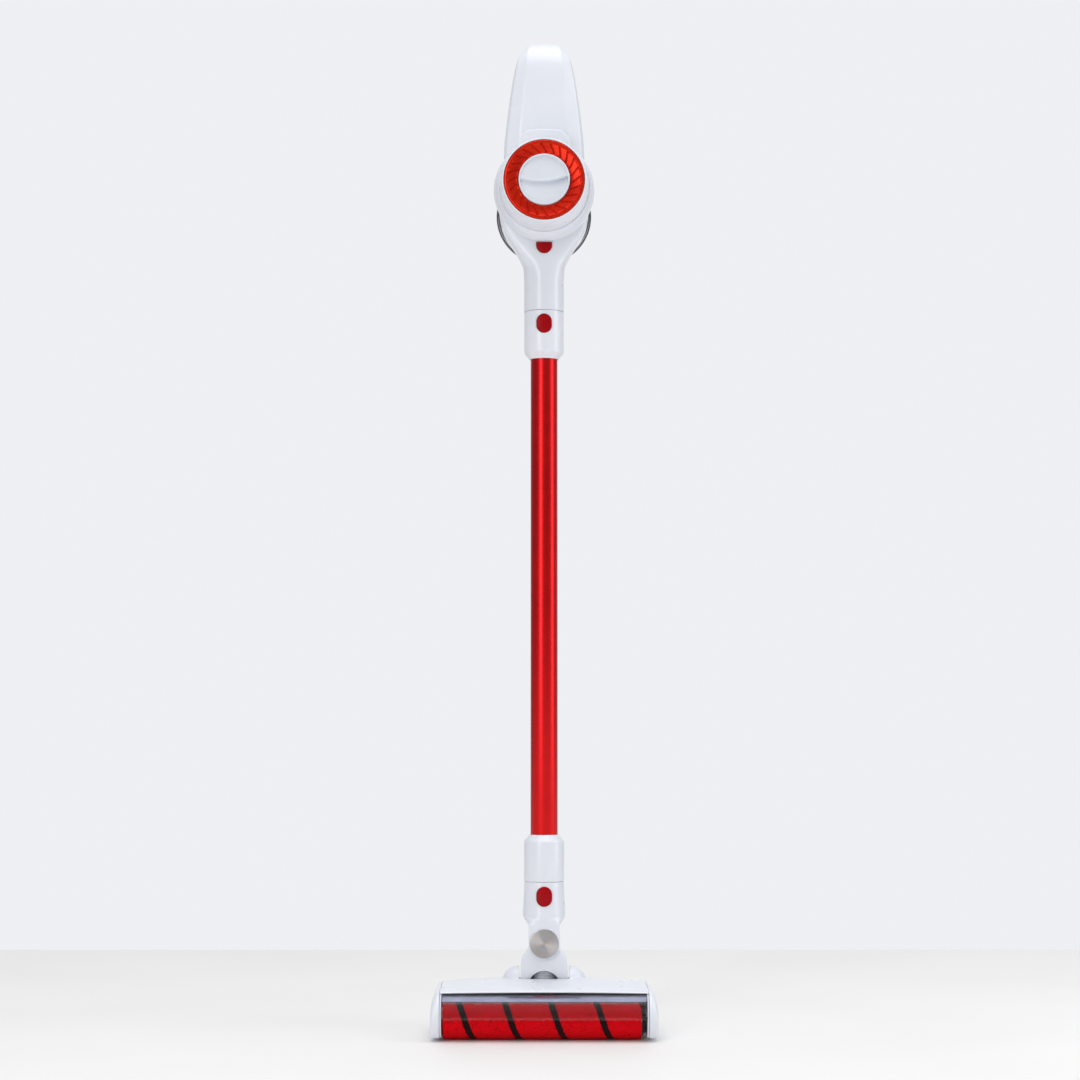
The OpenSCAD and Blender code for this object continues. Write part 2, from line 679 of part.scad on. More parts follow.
// Front outline of a cap: its top outer corner is a quarter of an oval, 9 wide and 26 high
module cap_front_outline(width) {
    corner_w = 9;
    corner_h = 26;
    polygon(concat([[0, 0], [width - 1.5, 0], [width, 6]],
        [for (a = [0:9:90]) [width - corner_w + corner_w * cos(a), 58 - corner_h + corner_h * sin(a)]], [[0, 58]]));
}

module cap_solid() intersection() {
    width = head_w / 2 - cap_x;
    along_x(cap_x, head_w / 2) cap_outline();
    translate([cap_x, 0, 0]) along_y(-110, 30) cap_front_outline(width);
}

module left_end_cap() color(white) on_stick() difference() {
    mirror([1, 0, 0]) cap_solid();
    rod_x(17, -123.4, -115, roller_y, roller_z);
    rod_x(10.5, -123.4, -115, motor_y, motor_z);
    along_x(-123.4, -115) polygon([[roller_y, roller_z - 17], [motor_y, motor_z - 10.5],
        [motor_y, motor_z + 10.5], [roller_y, roller_z + 17]]);
    rod_x(3 + run, -124, -115, roller_y, roller_z);
}

module right_end_cap() color(white) on_stick() difference() {
    cap_solid();
    along_x(115, 123.2) difference() {
        cap_outline();
        translate([-110, 0]) square([140, 6]);
        translate([-110, 48]) square([140, 20]);
        translate([17, 0]) square([10, 60]);
        translate([-110, 0]) square([14, 60]);
    }
}

module roller_motor() color(steel) on_stick() difference() {
    rod_x(15, -100, -38, motor_y, motor_z);
    rod_x(1.6, -101, -60, motor_y, motor_z);
}

module motor_pulley() color(dark) on_stick() {
    rod_x(1.5, -121.5, -80, motor_y, motor_z);
    rod_x(pinion_r, -121.5, -115.6, motor_y, motor_z);
}

module drive_belt() color(dark) on_stick() along_x(-121, -116) difference() {
    belt_outline(1.7);
    belt_outline(0.35);
}

module belt_outline(grow) hull() {
    translate([roller_y, roller_z]) circle(pulley_r + grow, $fn = 48);
    translate([motor_y, motor_z]) circle(pinion_r + grow, $fn = 48);
}

module roller_core() color(dark) on_stick() {
    rod_x(3, -123, 114, roller_y, roller_z);
    rod_x(pulley_r, -121.5, -115.6, roller_y, roller_z);
    difference() {
        rod_x(21, -112.4, 107.8, roller_y, roller_z);
        rod_x(18.8, -110, 105.4, roller_y, roller_z);
    }
}

module roller_sleeve() color(red) on_stick() difference() {
    rod_x(roller_r, -112, 107.4, roller_y, roller_z);
    rod_x(21, -113, 108, roller_y, roller_z);
}

module wheel(side) {
    middle = side * (wheel_x + wheel_w / 2);
    rod_x(wheel_r, middle - 4.9, middle + 4.9, wheel_y, wheel_r);
    rod_x(2.5, middle - 8, middle + 8, wheel_y, wheel_r);
}

module wheel_left() color(grey) on_stick() wheel(-1);

module wheel_right() color(grey) on_stick() wheel(1);

hub_shell();
exhaust_cover();
exhaust_ring();
main_body();
handle_top_cover();
handle_grip_shell();
battery_bay();
motor_can();
motor_mount();
control_board();
trigger_switch();
housing_screws();
trigger_spring();
cup_button_spring();
motor_shaft();
impeller();
filter_knob();
hepa_filter();
trigger();
mode_button();
cup_release_button();
cup_wall();
cyclone_shroud();
cyclone_cone();
pre_filter();
lid_hinge_pin();
cup_lid();
lid_seal();
lid_latch();
battery_case();
battery_cells();
charge_jack();
battery_latch();
wand_tube();
wand_upper_collar();
wand_lower_collar();
wand_wire_duct();
wand_button_spring();
wand_release_button();
neck_collar();
swivel_cap();
swivel_pins();
neck_button_spring();
neck_release_button();
yoke();
tilt_pins();
swivel_hose();
tilt_hose();
head_chassis();
head_top_shell();
visor();
left_end_cap();
right_end_cap();
roller_motor();
drive_belt();
roller_core();
roller_sleeve();
motor_pulley();
wheel_left();
wheel_right();
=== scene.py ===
import json
import math
import bmesh
import bpy
import numpy as np
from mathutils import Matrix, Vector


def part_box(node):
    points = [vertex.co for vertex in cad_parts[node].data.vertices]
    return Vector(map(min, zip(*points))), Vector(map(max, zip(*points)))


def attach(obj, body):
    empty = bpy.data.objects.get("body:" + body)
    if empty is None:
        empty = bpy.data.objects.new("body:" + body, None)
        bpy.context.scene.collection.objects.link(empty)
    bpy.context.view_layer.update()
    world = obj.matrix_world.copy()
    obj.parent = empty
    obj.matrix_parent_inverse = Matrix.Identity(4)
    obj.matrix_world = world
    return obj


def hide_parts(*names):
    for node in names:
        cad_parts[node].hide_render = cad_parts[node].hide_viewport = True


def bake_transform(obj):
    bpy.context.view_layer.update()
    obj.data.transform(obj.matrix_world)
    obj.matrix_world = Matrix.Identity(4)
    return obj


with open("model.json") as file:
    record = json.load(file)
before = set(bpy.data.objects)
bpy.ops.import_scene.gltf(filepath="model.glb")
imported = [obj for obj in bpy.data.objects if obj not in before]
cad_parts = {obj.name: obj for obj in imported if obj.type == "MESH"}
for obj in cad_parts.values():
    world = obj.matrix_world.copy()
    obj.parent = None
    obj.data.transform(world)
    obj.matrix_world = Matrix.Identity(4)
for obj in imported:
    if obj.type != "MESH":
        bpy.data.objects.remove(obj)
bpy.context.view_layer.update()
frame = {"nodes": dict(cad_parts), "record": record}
mm = 0.001
nodes = frame["nodes"]

# Places are taken from the frame, in millimetres


def boxMm(node):
    low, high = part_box(node)
    return np.array(low) / mm, np.array(high) / mm


def middle(node):
    low, high = boxMm(node)
    return (low + high) / 2


def lowest(node, axis):
    return boxMm(node)[0]["xyz".index(axis)]


def highest(node, axis):
    return boxMm(node)[1]["xyz".index(axis)]


stickY = middle("wand_tube")[1]                # the stick's upright axis stands at x 0 and this y
hubZ = middle("exhaust_ring")[2]               # the hub's axis runs along y at this height
gripZ = highest("battery_case", "z") - 167     # the handle and the battery are measured from here
rollerY, rollerZ = middle("roller_sleeve")[1:]
rollZ = middle("swivel_cap")[2]                # the neck rolls about y at this height
tiltZ = middle("tilt_pins")[2]                 # the head tilts about x at this height
shellX = highest("head_top_shell", "x")
print("frame loaded:", len(nodes), "nodes")

# Curves and outlines


def smoothCurve(at, values, where):
    # monotone cubic through the stations: each slope is the harmonic mean of the rises on its two sides
    at, values = np.asarray(at, float), np.asarray(values, float)
    step = np.diff(at)[:, None]
    rise = np.diff(values, axis=0) / step
    both = rise[:-1] * rise[1:]
    total = rise[:-1] + rise[1:]
    inner = np.where(both > 0, 2 * both / np.where(both > 0, total, 1), 0)
    slope = np.vstack([rise[:1], inner, rise[-1:]])
    i = np.clip(np.searchsorted(at, where, side="right") - 1, 0, len(at) - 2)
    t = ((where - at[i]) / step[i, 0])[:, None]
    h = step[i]
    return ((2 * t ** 3 - 3 * t ** 2 + 1) * values[i] + (t ** 3 - 2 * t ** 2 + t) * h * slope[i]
        + (3 * t ** 2 - 2 * t ** 3) * values[i + 1] + (t ** 3 - t ** 2) * h * slope[i + 1])


def rounded(corners, radii, steps=6):
    # an open line whose inner corners are arcs of the radii given, tangent to the lines on both sides. An arc
    # may take nearly half of a side that it shares with the next corner, and nearly all of an end side.
    corners = np.asarray(corners, float)
    out = [corners[:1]]
    for k, (before, here, after, radius) in enumerate(zip(corners[:-2], corners[1:-1], corners[2:], radii)):
        if radius <= 0:
            out.append(here[None])
            continue
        one = (before - here) / np.linalg.norm(before - here)
        two = (after - here) / np.linalg.norm(after - here)
        half = math.acos(np.clip(one @ two, -1, 1)) / 2
        reach = min(radius / math.tan(half), (0.98 if k == 0 else 0.49) * np.linalg.norm(before - here),
            (0.98 if k == len(corners) - 3 else 0.49) * np.linalg.norm(after - here))
        radius = reach * math.tan(half)
        centre = here + (one + two) / np.linalg.norm(one + two) * radius / math.sin(half)
        start = here + one * reach - centre
        stop = here + two * reach - centre
        t = np.linspace(0, 1, steps + 1)[:, None]
        span = math.acos(np.clip(start @ stop / radius ** 2, -1, 1))
        out.append(centre + (np.sin((1 - t) * span) * start + np.sin(t * span) * stop) / math.sin(span))
    out.append(corners[-1:])
    return np.vstack(out)


def evenly(line, count, closed=False):
    # points at equal distances along a line
    line = np.asarray(line, float)
    if closed:
        line = np.vstack([line, line[:1]])
    run = np.concatenate([[0], np.cumsum(np.linalg.norm(np.diff(line, axis=0), axis=1))])
    at = np.linspace(0, run[-1], count, endpoint=not closed)
    return np.stack([np.interp(at, run, line[:, k]) for k in range(2)], -1)


def loop(corners, radii, count=120):
    # a closed outline with rounded corners, as count even points
    corners = np.asarray(corners, float)
    if np.isscalar(radii):
        radii = [radii] * len(corners)
    start = (corners[0] + corners[-1]) / 2
    line = rounded(np.vstack([start, corners, start]), radii)
    return evenly(line[:-1], count, closed=True)


def roundedBox(width, depth, radius, count=120):
    a, b = width / 2, depth / 2
    return loop([(-a, -b), (a, -b), (a, b), (-a, b)], radius, count)


def oval(width, height, count=96):
    # two half circles joined by straight sides
    angle = np.linspace(0, np.pi, 40)
    top = np.stack([width / 2 * np.cos(angle), (height - width) / 2 + width / 2 * np.sin(angle)], -1)
    return evenly(np.vstack([top, -top]), count, closed=True)


def sectionRings(shape, z):
    # superellipses at the heights z, from rows of half-width, half-depth and exponent
    angle = np.linspace(0, 2 * np.pi, 200, endpoint=False)[None]
    section = superEllipse(shape[:, :1], shape[:, 1:2], shape[:, 2:3], angle)
    return np.concatenate([section, np.broadcast_to(z[:, None, None], section.shape[:2] + (1,))], -1)


def superEllipse(halfWidth, halfDepth, exponent, angle):
    # |x / a|^n + |y / b|^n = 1 at the angle given
    c, s = np.cos(angle), np.sin(angle)
    return np.stack([halfWidth * np.sign(c) * np.abs(c) ** (2 / exponent),
        halfDepth * np.sign(s) * np.abs(s) ** (2 / exponent)], -1)


# Meshes


def place(name, points, faces, uv=None, sharp=35):
    # points in mm and faces go into a new mesh object; edges bent by more than sharp degrees stay crisp
    mesh = bpy.data.meshes.new(name)
    mesh.from_pydata((np.asarray(points) * mm).tolist(), [], faces)
    mesh.validate()
    if uv is not None:
        corner = np.zeros(len(mesh.loops), int)
        mesh.loops.foreach_get("vertex_index", corner)
        mesh.uv_layers.new(name="surface").data.foreach_set("uv", np.asarray(uv)[corner].ravel())
    piece = bpy.data.objects.new(name, mesh)
    bpy.context.scene.collection.objects.link(piece)
    shade(piece, sharp)
    return piece


def shade(piece, sharp=35):
    mesh = piece.data
    mesh.polygons.foreach_set("use_smooth", np.ones(len(mesh.polygons), bool))
    mesh.set_sharp_from_angle(angle=math.radians(sharp))


def cells(rows, cols, aroundRows=False, aroundCols=False):
    # each cell joins the point (i, j) to its next row and next column
    index = np.arange(rows * cols).reshape(rows, cols)
    if aroundRows:
        index = np.vstack([index, index[:1]])
    if aroundCols:
        index = np.hstack([index, index[:, :1]])
    return np.stack([index[:-1, :-1], index[:-1, 1:], index[1:, 1:], index[1:, :-1]], -1).reshape(-1, 4)


def sheet(name, grid, aroundRows=False, aroundCols=False, capped=False, uv=None, sharp=35):
    # grid is rows x cols x 3 in mm; capped closes the first and the last row with a fan round its middle
    rows, cols = grid.shape[:2]
    faces = cells(rows, cols, aroundRows, aroundCols).tolist()
    points = grid.reshape(-1, 3)
    if capped:
        ring = np.arange(cols)
        following = np.roll(ring, -1)
        first, last, end = len(points), len(points) + 1, (rows - 1) * cols
        points = np.vstack([points, grid[0].mean(0), grid[-1].mean(0)])
        faces += np.stack([following, ring, np.full(cols, first)], -1).tolist()
        faces += np.stack([ring + end, following + end, np.full(cols, last)], -1).tolist()
    return place(name, points, faces, uv, sharp)


def weld(piece, distance=0.002):
    work = bmesh.new()
    work.from_mesh(piece.data)
    bmesh.ops.remove_doubles(work, verts=work.verts, dist=distance * mm)
    work.to_mesh(piece.data)
    work.free()


def outward(piece):
    # a closed surface whose signed volume is negative is inside out, so its faces are turned
    mesh = piece.data
    mesh.calc_loop_triangles()
    points = np.zeros(len(mesh.vertices) * 3)
    mesh.vertices.foreach_get("co", points)
    corners = np.zeros(len(mesh.loop_triangles) * 3, int)
    mesh.loop_triangles.foreach_get("vertices", corners)
    triangles = points.reshape(-1, 3)[corners.reshape(-1, 3)]
    if np.einsum("ij,ij->i", triangles[:, 0], np.cross(triangles[:, 1], triangles[:, 2])).sum() < 0:
        mesh.flip_normals()


def facing(piece, point):
    # an open sheet's faces are turned away from a point in mm
    mesh = piece.data
    normals = np.zeros(len(mesh.polygons) * 3)
    centres = np.zeros(len(mesh.polygons) * 3)
    mesh.polygons.foreach_get("normal", normals)
    mesh.polygons.foreach_get("center", centres)
    away = centres.reshape(-1, 3) - np.asarray(point) * mm
    if (normals.reshape(-1, 3) * away).sum() < 0:
        mesh.flip_normals()


def settle(piece, sharp=35):
    # the modifiers' result becomes the mesh
    graph = bpy.context.evaluated_depsgraph_get()
    result = bpy.data.meshes.new_from_object(piece.evaluated_get(graph))
    piece.modifiers.clear()
    piece.data = result
    result.name = piece.name
    shade(piece, sharp)


def thicken(piece, thickness, edge=0.3, sharp=35):
    # a sheet gets its wall on the inner side and a small round along its rim
    solid = piece.modifiers.new("wall", "SOLIDIFY")
    solid.thickness = thickness * mm
    solid.offset = -1
    bevel = piece.modifiers.new("rim", "BEVEL")
    bevel.width = edge * mm
    bevel.segments = 2
    bevel.angle_limit = math.radians(60)
    settle(piece, sharp)


def combine(piece, others, operation="DIFFERENCE", sharp=35):
    for other in others:
        step = piece.modifiers.new("combine", "BOOLEAN")
        step.operation = operation
        step.solver = "EXACT"
        step.object = other
    bpy.context.view_layer.update()
    settle(piece, sharp)
    for other in others:
        bpy.data.objects.remove(other)


def turned(name, profile, centre, axis="z", steps=160, closed=True, uv=False, sharp=35):
    # a profile (radius, along) carried round an axis: centre + radius * (cos a, sin a) + along the axis.
    # A closed profile runs back to its start; points on the axis are merged into poles.
    profile = np.asarray(profile, float)
    angle = np.linspace(0, 2 * np.pi, steps, endpoint=False)[:, None]
    radius, along = profile[None, :, 0], np.broadcast_to(profile[:, 1], (steps, len(profile)))
    across, up = radius * np.cos(angle), radius * np.sin(angle)
    order = {"z": (across, up, along), "y": (up, along, across), "x": (along, across, up)}[axis]
    turn = np.broadcast_to(angle / (2 * np.pi), along.shape)
    reach = np.broadcast_to(radius / 20, along.shape)
    piece = sheet(name, np.stack(order, -1) + np.asarray(centre, float), aroundRows=True, aroundCols=closed,
        uv=np.stack([turn, reach], -1).reshape(-1, 2) if uv else None, sharp=sharp)
    weld(piece)
    outward(piece)
    return piece


def slab(name, outline, along, edges=(0.6, 0.6), crown=0.0, centre=(0, 0, 0), axis="y", steps=5, sharp=35):
    # an outline carried from along[0] to along[1]. At each end it moves inwards along a quarter circle of
    # the edge's radius, and the far face swells by crown * (1 - share of the way out, squared).
    outline = np.asarray(outline, float)
    tangent = np.roll(outline, -1, 0) - np.roll(outline, 1, 0)
    normal = np.stack([tangent[:, 1], -tangent[:, 0]], -1) / np.linalg.norm(tangent, axis=1)[:, None]
    if (outline[:, 0] * np.roll(outline[:, 1], -1) - np.roll(outline[:, 0], -1) * outline[:, 1]).sum() < 0:
        normal = -normal
    way = math.copysign(1, along[1] - along[0])
    q = np.linspace(0, np.pi / 2, steps + 1)
    inset = np.concatenate([edges[0] * (1 - np.sin(q)), edges[1] * (1 - np.cos(q))])
    height = np.concatenate([along[0] + way * edges[0] * (1 - np.cos(q)), along[1] - way * edges[1] * (1
        - np.sin(q))])
    rings = outline[None] - inset[:, None, None] * normal[None]
    if crown:
        share = np.linspace(1, 0.04, 9)[1:]
        middlePoint = rings[-1].mean(0)
        rings = np.concatenate([rings, middlePoint + share[:, None, None] * (rings[-1] - middlePoint)])
        height = np.concatenate([height, along[1] + way * crown * (1 - share ** 2)])
    t = np.broadcast_to(height[:, None], rings.shape[:2])
    order = {"y": (rings[..., 0], t, rings[..., 1]), "z": (rings[..., 0], rings[..., 1], t),
        "x": (t, rings[..., 0], rings[..., 1])}[axis]
    piece = sheet(name, np.stack(order, -1) + np.asarray(centre, float), aroundCols=True, capped=True,
        sharp=sharp)
    outward(piece)
    return piece


def drill(radius, span, centre, axis, steps):
    # a round cutter from span[0] to span[1] along an axis
    return turned("cutter", [(0, span[0]), (radius, span[0]), (radius, span[1]), (0, span[1])], centre,
        axis, steps, closed=False)


def finishPiece(piece, body, slotName, *stands, material=None):
    # every piece rides on a body, names its slot and gets that slot's material unless another is given
    piece.data.materials.clear()
    piece.data.materials.append(material or slotMaterials[slotName])
    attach(piece, body)
    if stands:
        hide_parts(*stands)
    return piece


# Materials


def linear(code):
    # an sRGB hex colour as linear RGBA
    values = np.array([int(code[i:i + 2], 16) for i in (1, 3, 5)]) / 255
    values = np.where(values <= 0.04045, values / 12.92, ((values + 0.055) / 1.055) ** 2.4)
    return (*values.tolist(), 1.0)


def addNode(tree, kind, settings=None, links=None):
    # settings name a node's own properties or its sockets, which may be numbered; links join another node's
    # output to a socket
    node = tree.nodes.new(kind)
    for name, value in (settings or {}).items():
        if isinstance(name, int) or name in node.inputs:
            node.inputs[name].default_value = value
        else:
            setattr(node, name, value)
    for name, source in (links or {}).items():
        tree.links.new(source, node.inputs[name])
    return node


def startMaterial(name, surface):
    # a new material with its shader, its output and the object's own coordinates
    material = bpy.data.materials.new(name)
    material.use_nodes = True
    tree = material.node_tree
    tree.nodes.clear()
    shader = addNode(tree, "ShaderNodeBsdfPrincipled", surface)
    addNode(tree, "ShaderNodeOutputMaterial", links={"Surface": shader.outputs["BSDF"]})
    place3d = addNode(tree, "ShaderNodeTexCoord").outputs["Object"]
    return material, tree, shader, place3d


def noise(tree, place3d, size, detail=2.0):
    # clouds whose features are about size mm across
    return addNode(tree, "ShaderNodeTexNoise", {"Scale": 1 / (size * mm), "Detail": detail},
        {"Vector": place3d})


def remap(tree, value, fromLow, fromHigh, low, high):
    return addNode(tree, "ShaderNodeMapRange", {"From Min": fromLow, "From Max": fromHigh, "To Min": low,
        "To Max": high}, {"Value": value}).outputs["Result"]


def spread(tree, value, low, high):
    # a noise value, mostly 0.3 to 0.7, spread over low to high
    return remap(tree, value, 0.3, 0.7, low, high)


def twoTone(tree, factor, first, second):
    mix = addNode(tree, "ShaderNodeMix", {"data_type": "RGBA"})
    mix.inputs[6].default_value = linear(first)
    mix.inputs[7].default_value = linear(second)
    tree.links.new(factor, mix.inputs[0])
    return mix.outputs[2]


def grainMaterial(name, look):
    # a surface with a slow drift of tone and gloss, and a fine relief of a real size
    material, tree, shader, place3d = startMaterial(name, look["surface"])
    drift = noise(tree, place3d, look["drift"]).outputs["Fac"]
    tone = twoTone(tree, spread(tree, drift, 0, 1), *look["tones"])
    rough = spread(tree, noise(tree, place3d, look["drift"] / 3, 4.0).outputs["Fac"], *look["gloss"])
    grain = noise(tree, place3d, look["grain"], look.get("detail", 2.0)).outputs["Fac"]
    relief = addNode(tree, "ShaderNodeBump", {"Strength": look["relief"], "Distance": look["depth"] * mm},
        {"Height": grain})
    tree.links.new(tone, shader.inputs["Base Color"])
    tree.links.new(rough, shader.inputs["Roughness"])
    tree.links.new(relief.outputs["Normal"], shader.inputs["Normal"])
    return material


# White ABS, injection moulded in a polished tool: a soft gloss over a faint orange peel
mouldedAbs = grainMaterial("mouldedWhiteAbs", {"tones": ("#E3E6ED", "#DFE3EB"), "gloss": (0.27, 0.36),
    "drift": 60, "grain": 1.8, "relief": 0.10, "depth": 0.05, "surface": {"IOR": 1.53, "Coat Weight": 0.25,
    "Coat Roughness": 0.12}})

# White ABS, moulded in a fine spark-eroded tool: a dry, even satin
satinAbs = grainMaterial("satinWhiteAbs", {"tones": ("#D9DEE7", "#D4D9E2"), "gloss": (0.42, 0.52),
    "drift": 60, "grain": 0.5, "relief": 0.25, "depth": 0.05, "surface": {"IOR": 1.53}})

# Grey ABS, moulded, for the working parts that the hand meets
greyAbs = grainMaterial("mouldedGreyAbs", {"tones": ("#8C9097", "#82868D"), "gloss": (0.38, 0.48),
    "drift": 30, "grain": 0.5, "relief": 0.25, "depth": 0.05, "surface": {"IOR": 1.53}})

# Glass-filled nylon, moulded black: a dull skin with a slight mottle
darkNylon = grainMaterial("mouldedDarkNylon", {"tones": ("#26282C", "#1D1F23"), "gloss": (0.42, 0.58),
    "drift": 20, "grain": 0.4, "relief": 0.35, "depth": 0.05, "surface": {"IOR": 1.53}})

# Acrylic-topped ABS, moulded deep red: a wet gloss on the press buttons
glossRed = grainMaterial("mouldedGlossRed", {"tones": ("#A2000C", "#94000A"), "gloss": (0.28, 0.36),
    "drift": 12, "grain": 1.2, "relief": 0.06, "depth": 0.04, "surface": {"IOR": 1.45,
    "Specular IOR Level": 0.18}})

# Metallised ABS with a clear red lacquer: a bright, coloured shine that turns orange where light grazes
lacquerRed = grainMaterial("lacqueredRedAbs", {"tones": ("#DC2A0B", "#C81C09"), "gloss": (0.24, 0.32),
    "drift": 18, "grain": 0.9, "relief": 0.05, "depth": 0.03, "surface": {"IOR": 1.45, "Metallic": 0.5,
    "Specular IOR Level": 0.25}})

# Aluminium tube, bead blasted and anodised red: long soft highlights with a faint sparkle
anodisedRed = grainMaterial("anodisedRedAluminium", {"tones": ("#DA1318", "#D01016"), "gloss": (0.33, 0.39),
    "drift": 40, "grain": 0.35, "relief": 0.30, "depth": 0.03, "surface": {"Metallic": 1.0,
    "Coat Weight": 0.25, "Coat Roughness": 0.25}})

# Steel, ground bright: shafts, pins and the motor's cans
groundSteel = grainMaterial("groundSteel", {"tones": ("#B9BBBE", "#ACAEB2"), "gloss": (0.20, 0.32),
    "drift": 8, "grain": 0.25, "relief": 0.2, "depth": 0.02, "surface": {"Metallic": 1.0}})

# Spring wire, drawn: darker steel with fine lengthwise scratches
drawnWire = grainMaterial("drawnSpringWire", {"tones": ("#9A9CA0", "#8B8D92"), "gloss": (0.25, 0.40),
    "drift": 4, "grain": 0.2, "relief": 0.2, "depth": 0.02, "surface": {"Metallic": 1.0}})

# Nitrile rubber, pressed: black and matt with a bloom
sealRubber = grainMaterial("pressedSealRubber", {"tones": ("#222326", "#1A1B1E"), "gloss": (0.60, 0.75),
    "drift": 15, "grain": 0.3, "relief": 0.4, "depth": 0.05, "surface": {"IOR": 1.52}})

# Neoprene belt, moulded with a woven back
beltRubber = grainMaterial("mouldedBeltRubber", {"tones": ("#1B1B1D", "#131315"), "gloss": (0.65, 0.80),
    "drift": 8, "grain": 0.6, "relief": 0.5, "depth": 0.1, "surface": {"IOR": 1.52}})

# Thermoplastic hose, blow moulded: pale, soft and slightly waxy
hoseRubber = grainMaterial("blowMouldedHose", {"tones": ("#E6E9EF", "#DCDFE6"), "gloss": (0.40, 0.52),
    "drift": 15, "grain": 0.8, "relief": 0.2, "depth": 0.05, "surface": {"IOR": 1.5}})

# Polyurethane tyre, cast: dark grey and matt
wheelRubber = grainMaterial("castWheelRubber", {"tones": ("#4A4C51", "#404247"), "gloss": (0.55, 0.68),
    "drift": 10, "grain": 0.4, "relief": 0.4, "depth": 0.05, "surface": {"IOR": 1.5}})

# Filter paper, wet laid: warm white with loose fibres
filterPaper = grainMaterial("wetLaidFilterPaper", {"tones": ("#F1EFE6", "#E6E3D8"), "gloss": (0.80, 0.95),
    "drift": 5, "grain": 0.3, "relief": 0.6, "depth": 0.08, "detail": 6.0, "surface": {"IOR": 1.5}})

# Polyurethane foam, open celled: cells drawn at 1.2 mm
openFoam = grainMaterial("openCellFoam", {"tones": ("#CDC8BC", "#A9A497"), "gloss": (0.85, 0.95),
    "drift": 1.2, "grain": 1.2, "relief": 1.0, "depth": 0.6, "surface": {"IOR": 1.5}})

# Glass-epoxy board under a green solder mask
solderMask = grainMaterial("solderMaskBoard", {"tones": ("#1C6B34", "#14572A"), "gloss": (0.25, 0.40),
    "drift": 6, "grain": 0.5, "relief": 0.2, "depth": 0.03, "surface": {"IOR": 1.55}})

# Shrink sleeve on the cells: thin blue film drawn tight
shrinkSleeve = grainMaterial("shrinkSleeve", {"tones": ("#2C74A8", "#256594"), "gloss": (0.22, 0.35),
    "drift": 10, "grain": 1.5, "relief": 0.3, "depth": 0.05, "surface": {"IOR": 1.5}})

# Metallised film on ABS, the mirror strip behind the visor: a grey sheen that blurs along its length
mirrorStrip = grainMaterial("metallisedStrip", {"tones": ("#6F6F80", "#5D5D70"), "gloss": (0.16, 0.26),
    "drift": 25, "grain": 0.6, "relief": 0.05, "depth": 0.02, "surface": {"Metallic": 1.0}})

# Floor: a plain, pale, rolled vinyl
paleFloor = grainMaterial("rolledPaleFloor", {"tones": ("#F2F1EF", "#EFEEEC"), "gloss": (0.55, 0.65),
    "drift": 300, "grain": 2.5, "relief": 0.05, "depth": 0.1, "surface": {"IOR": 1.45}})


def clearPlastic(name, tint, roughness, look):
    # polycarbonate: light goes through with the tint, and hairline scratches show as faint gloss changes
    material, tree, shader, place3d = startMaterial(name, look)
    scratch = noise(tree, place3d, 9, 5.0).outputs["Fac"]
    tree.links.new(twoTone(tree, spread(tree, scratch, 0, 1), *tint), shader.inputs["Base Color"])
    tree.links.new(spread(tree, scratch, *roughness), shader.inputs["Roughness"])
    return material


# Polycarbonate, moulded clear and polished: the visor in front of the roller
clearVisor = clearPlastic("polishedClearPolycarbonate", ("#F7F9FC", "#F2F5F9"), (0.02, 0.05), {"IOR": 1.33,
    "Transmission Weight": 1.0})

# Polycarbonate, moulded with a smoke dye: dark and glossy with a view of what lies behind
smokedLid = clearPlastic("smokedPolycarbonate", ("#70737B", "#666971"), (0.05, 0.09), {"IOR": 1.585,
    "Transmission Weight": 0.85})


def spunSteel(name, look):
    # stainless steel faced on a lathe: rings of fine grooves round the middle, drawn coarser than life, so
    # light gathers into rays
    material, tree, shader, _ = startMaterial(name, look["surface"])
    groove = addNode(tree, "ShaderNodeUVMap", {"uv_map": "surface"}).outputs["UV"]
    parts = addNode(tree, "ShaderNodeSeparateXYZ", links={"Vector": groove})
    ring = addNode(tree, "ShaderNodeMath", {"operation": "MULTIPLY", 1: 20 / look["groove"]},
        {0: parts.outputs["Y"]}).outputs["Value"]
    rings = addNode(tree, "ShaderNodeTexNoise", {"noise_dimensions": "1D", "Scale": 1.0, "Detail": 3.0},
        {"W": ring}).outputs["Fac"]
    tree.links.new(twoTone(tree, spread(tree, rings, 0, 1), *look["tones"]), shader.inputs["Base Color"])
    tree.links.new(spread(tree, rings, *look["gloss"]), shader.inputs["Roughness"])
    relief = addNode(tree, "ShaderNodeBump", {"Strength": 0.12, "Distance": 0.02 * mm}, {"Height": rings})
    tree.links.new(relief.outputs["Normal"], shader.inputs["Normal"])
    tangent = addNode(tree, "ShaderNodeTangent", {"direction_type": "UV_MAP", "uv_map": "surface"})
    tree.links.new(tangent.outputs["Tangent"], shader.inputs["Tangent"])
    return material


spunDisc = spunSteel("spunStainlessSteel", {"tones": ("#C9C5C4", "#A9A5A5"), "gloss": (0.24, 0.36),
    "groove": 0.5, "surface": {"Metallic": 1.0, "Anisotropic": 0.95, "Anisotropic Rotation": 0.25}})

rollerLook = {"lead": 50.3, "stripWidth": 7.4, "stripAt": 13.1, "pile": ("#E40012", "#C0000E"),
    "bristle": ("#241013", "#120A0C")}


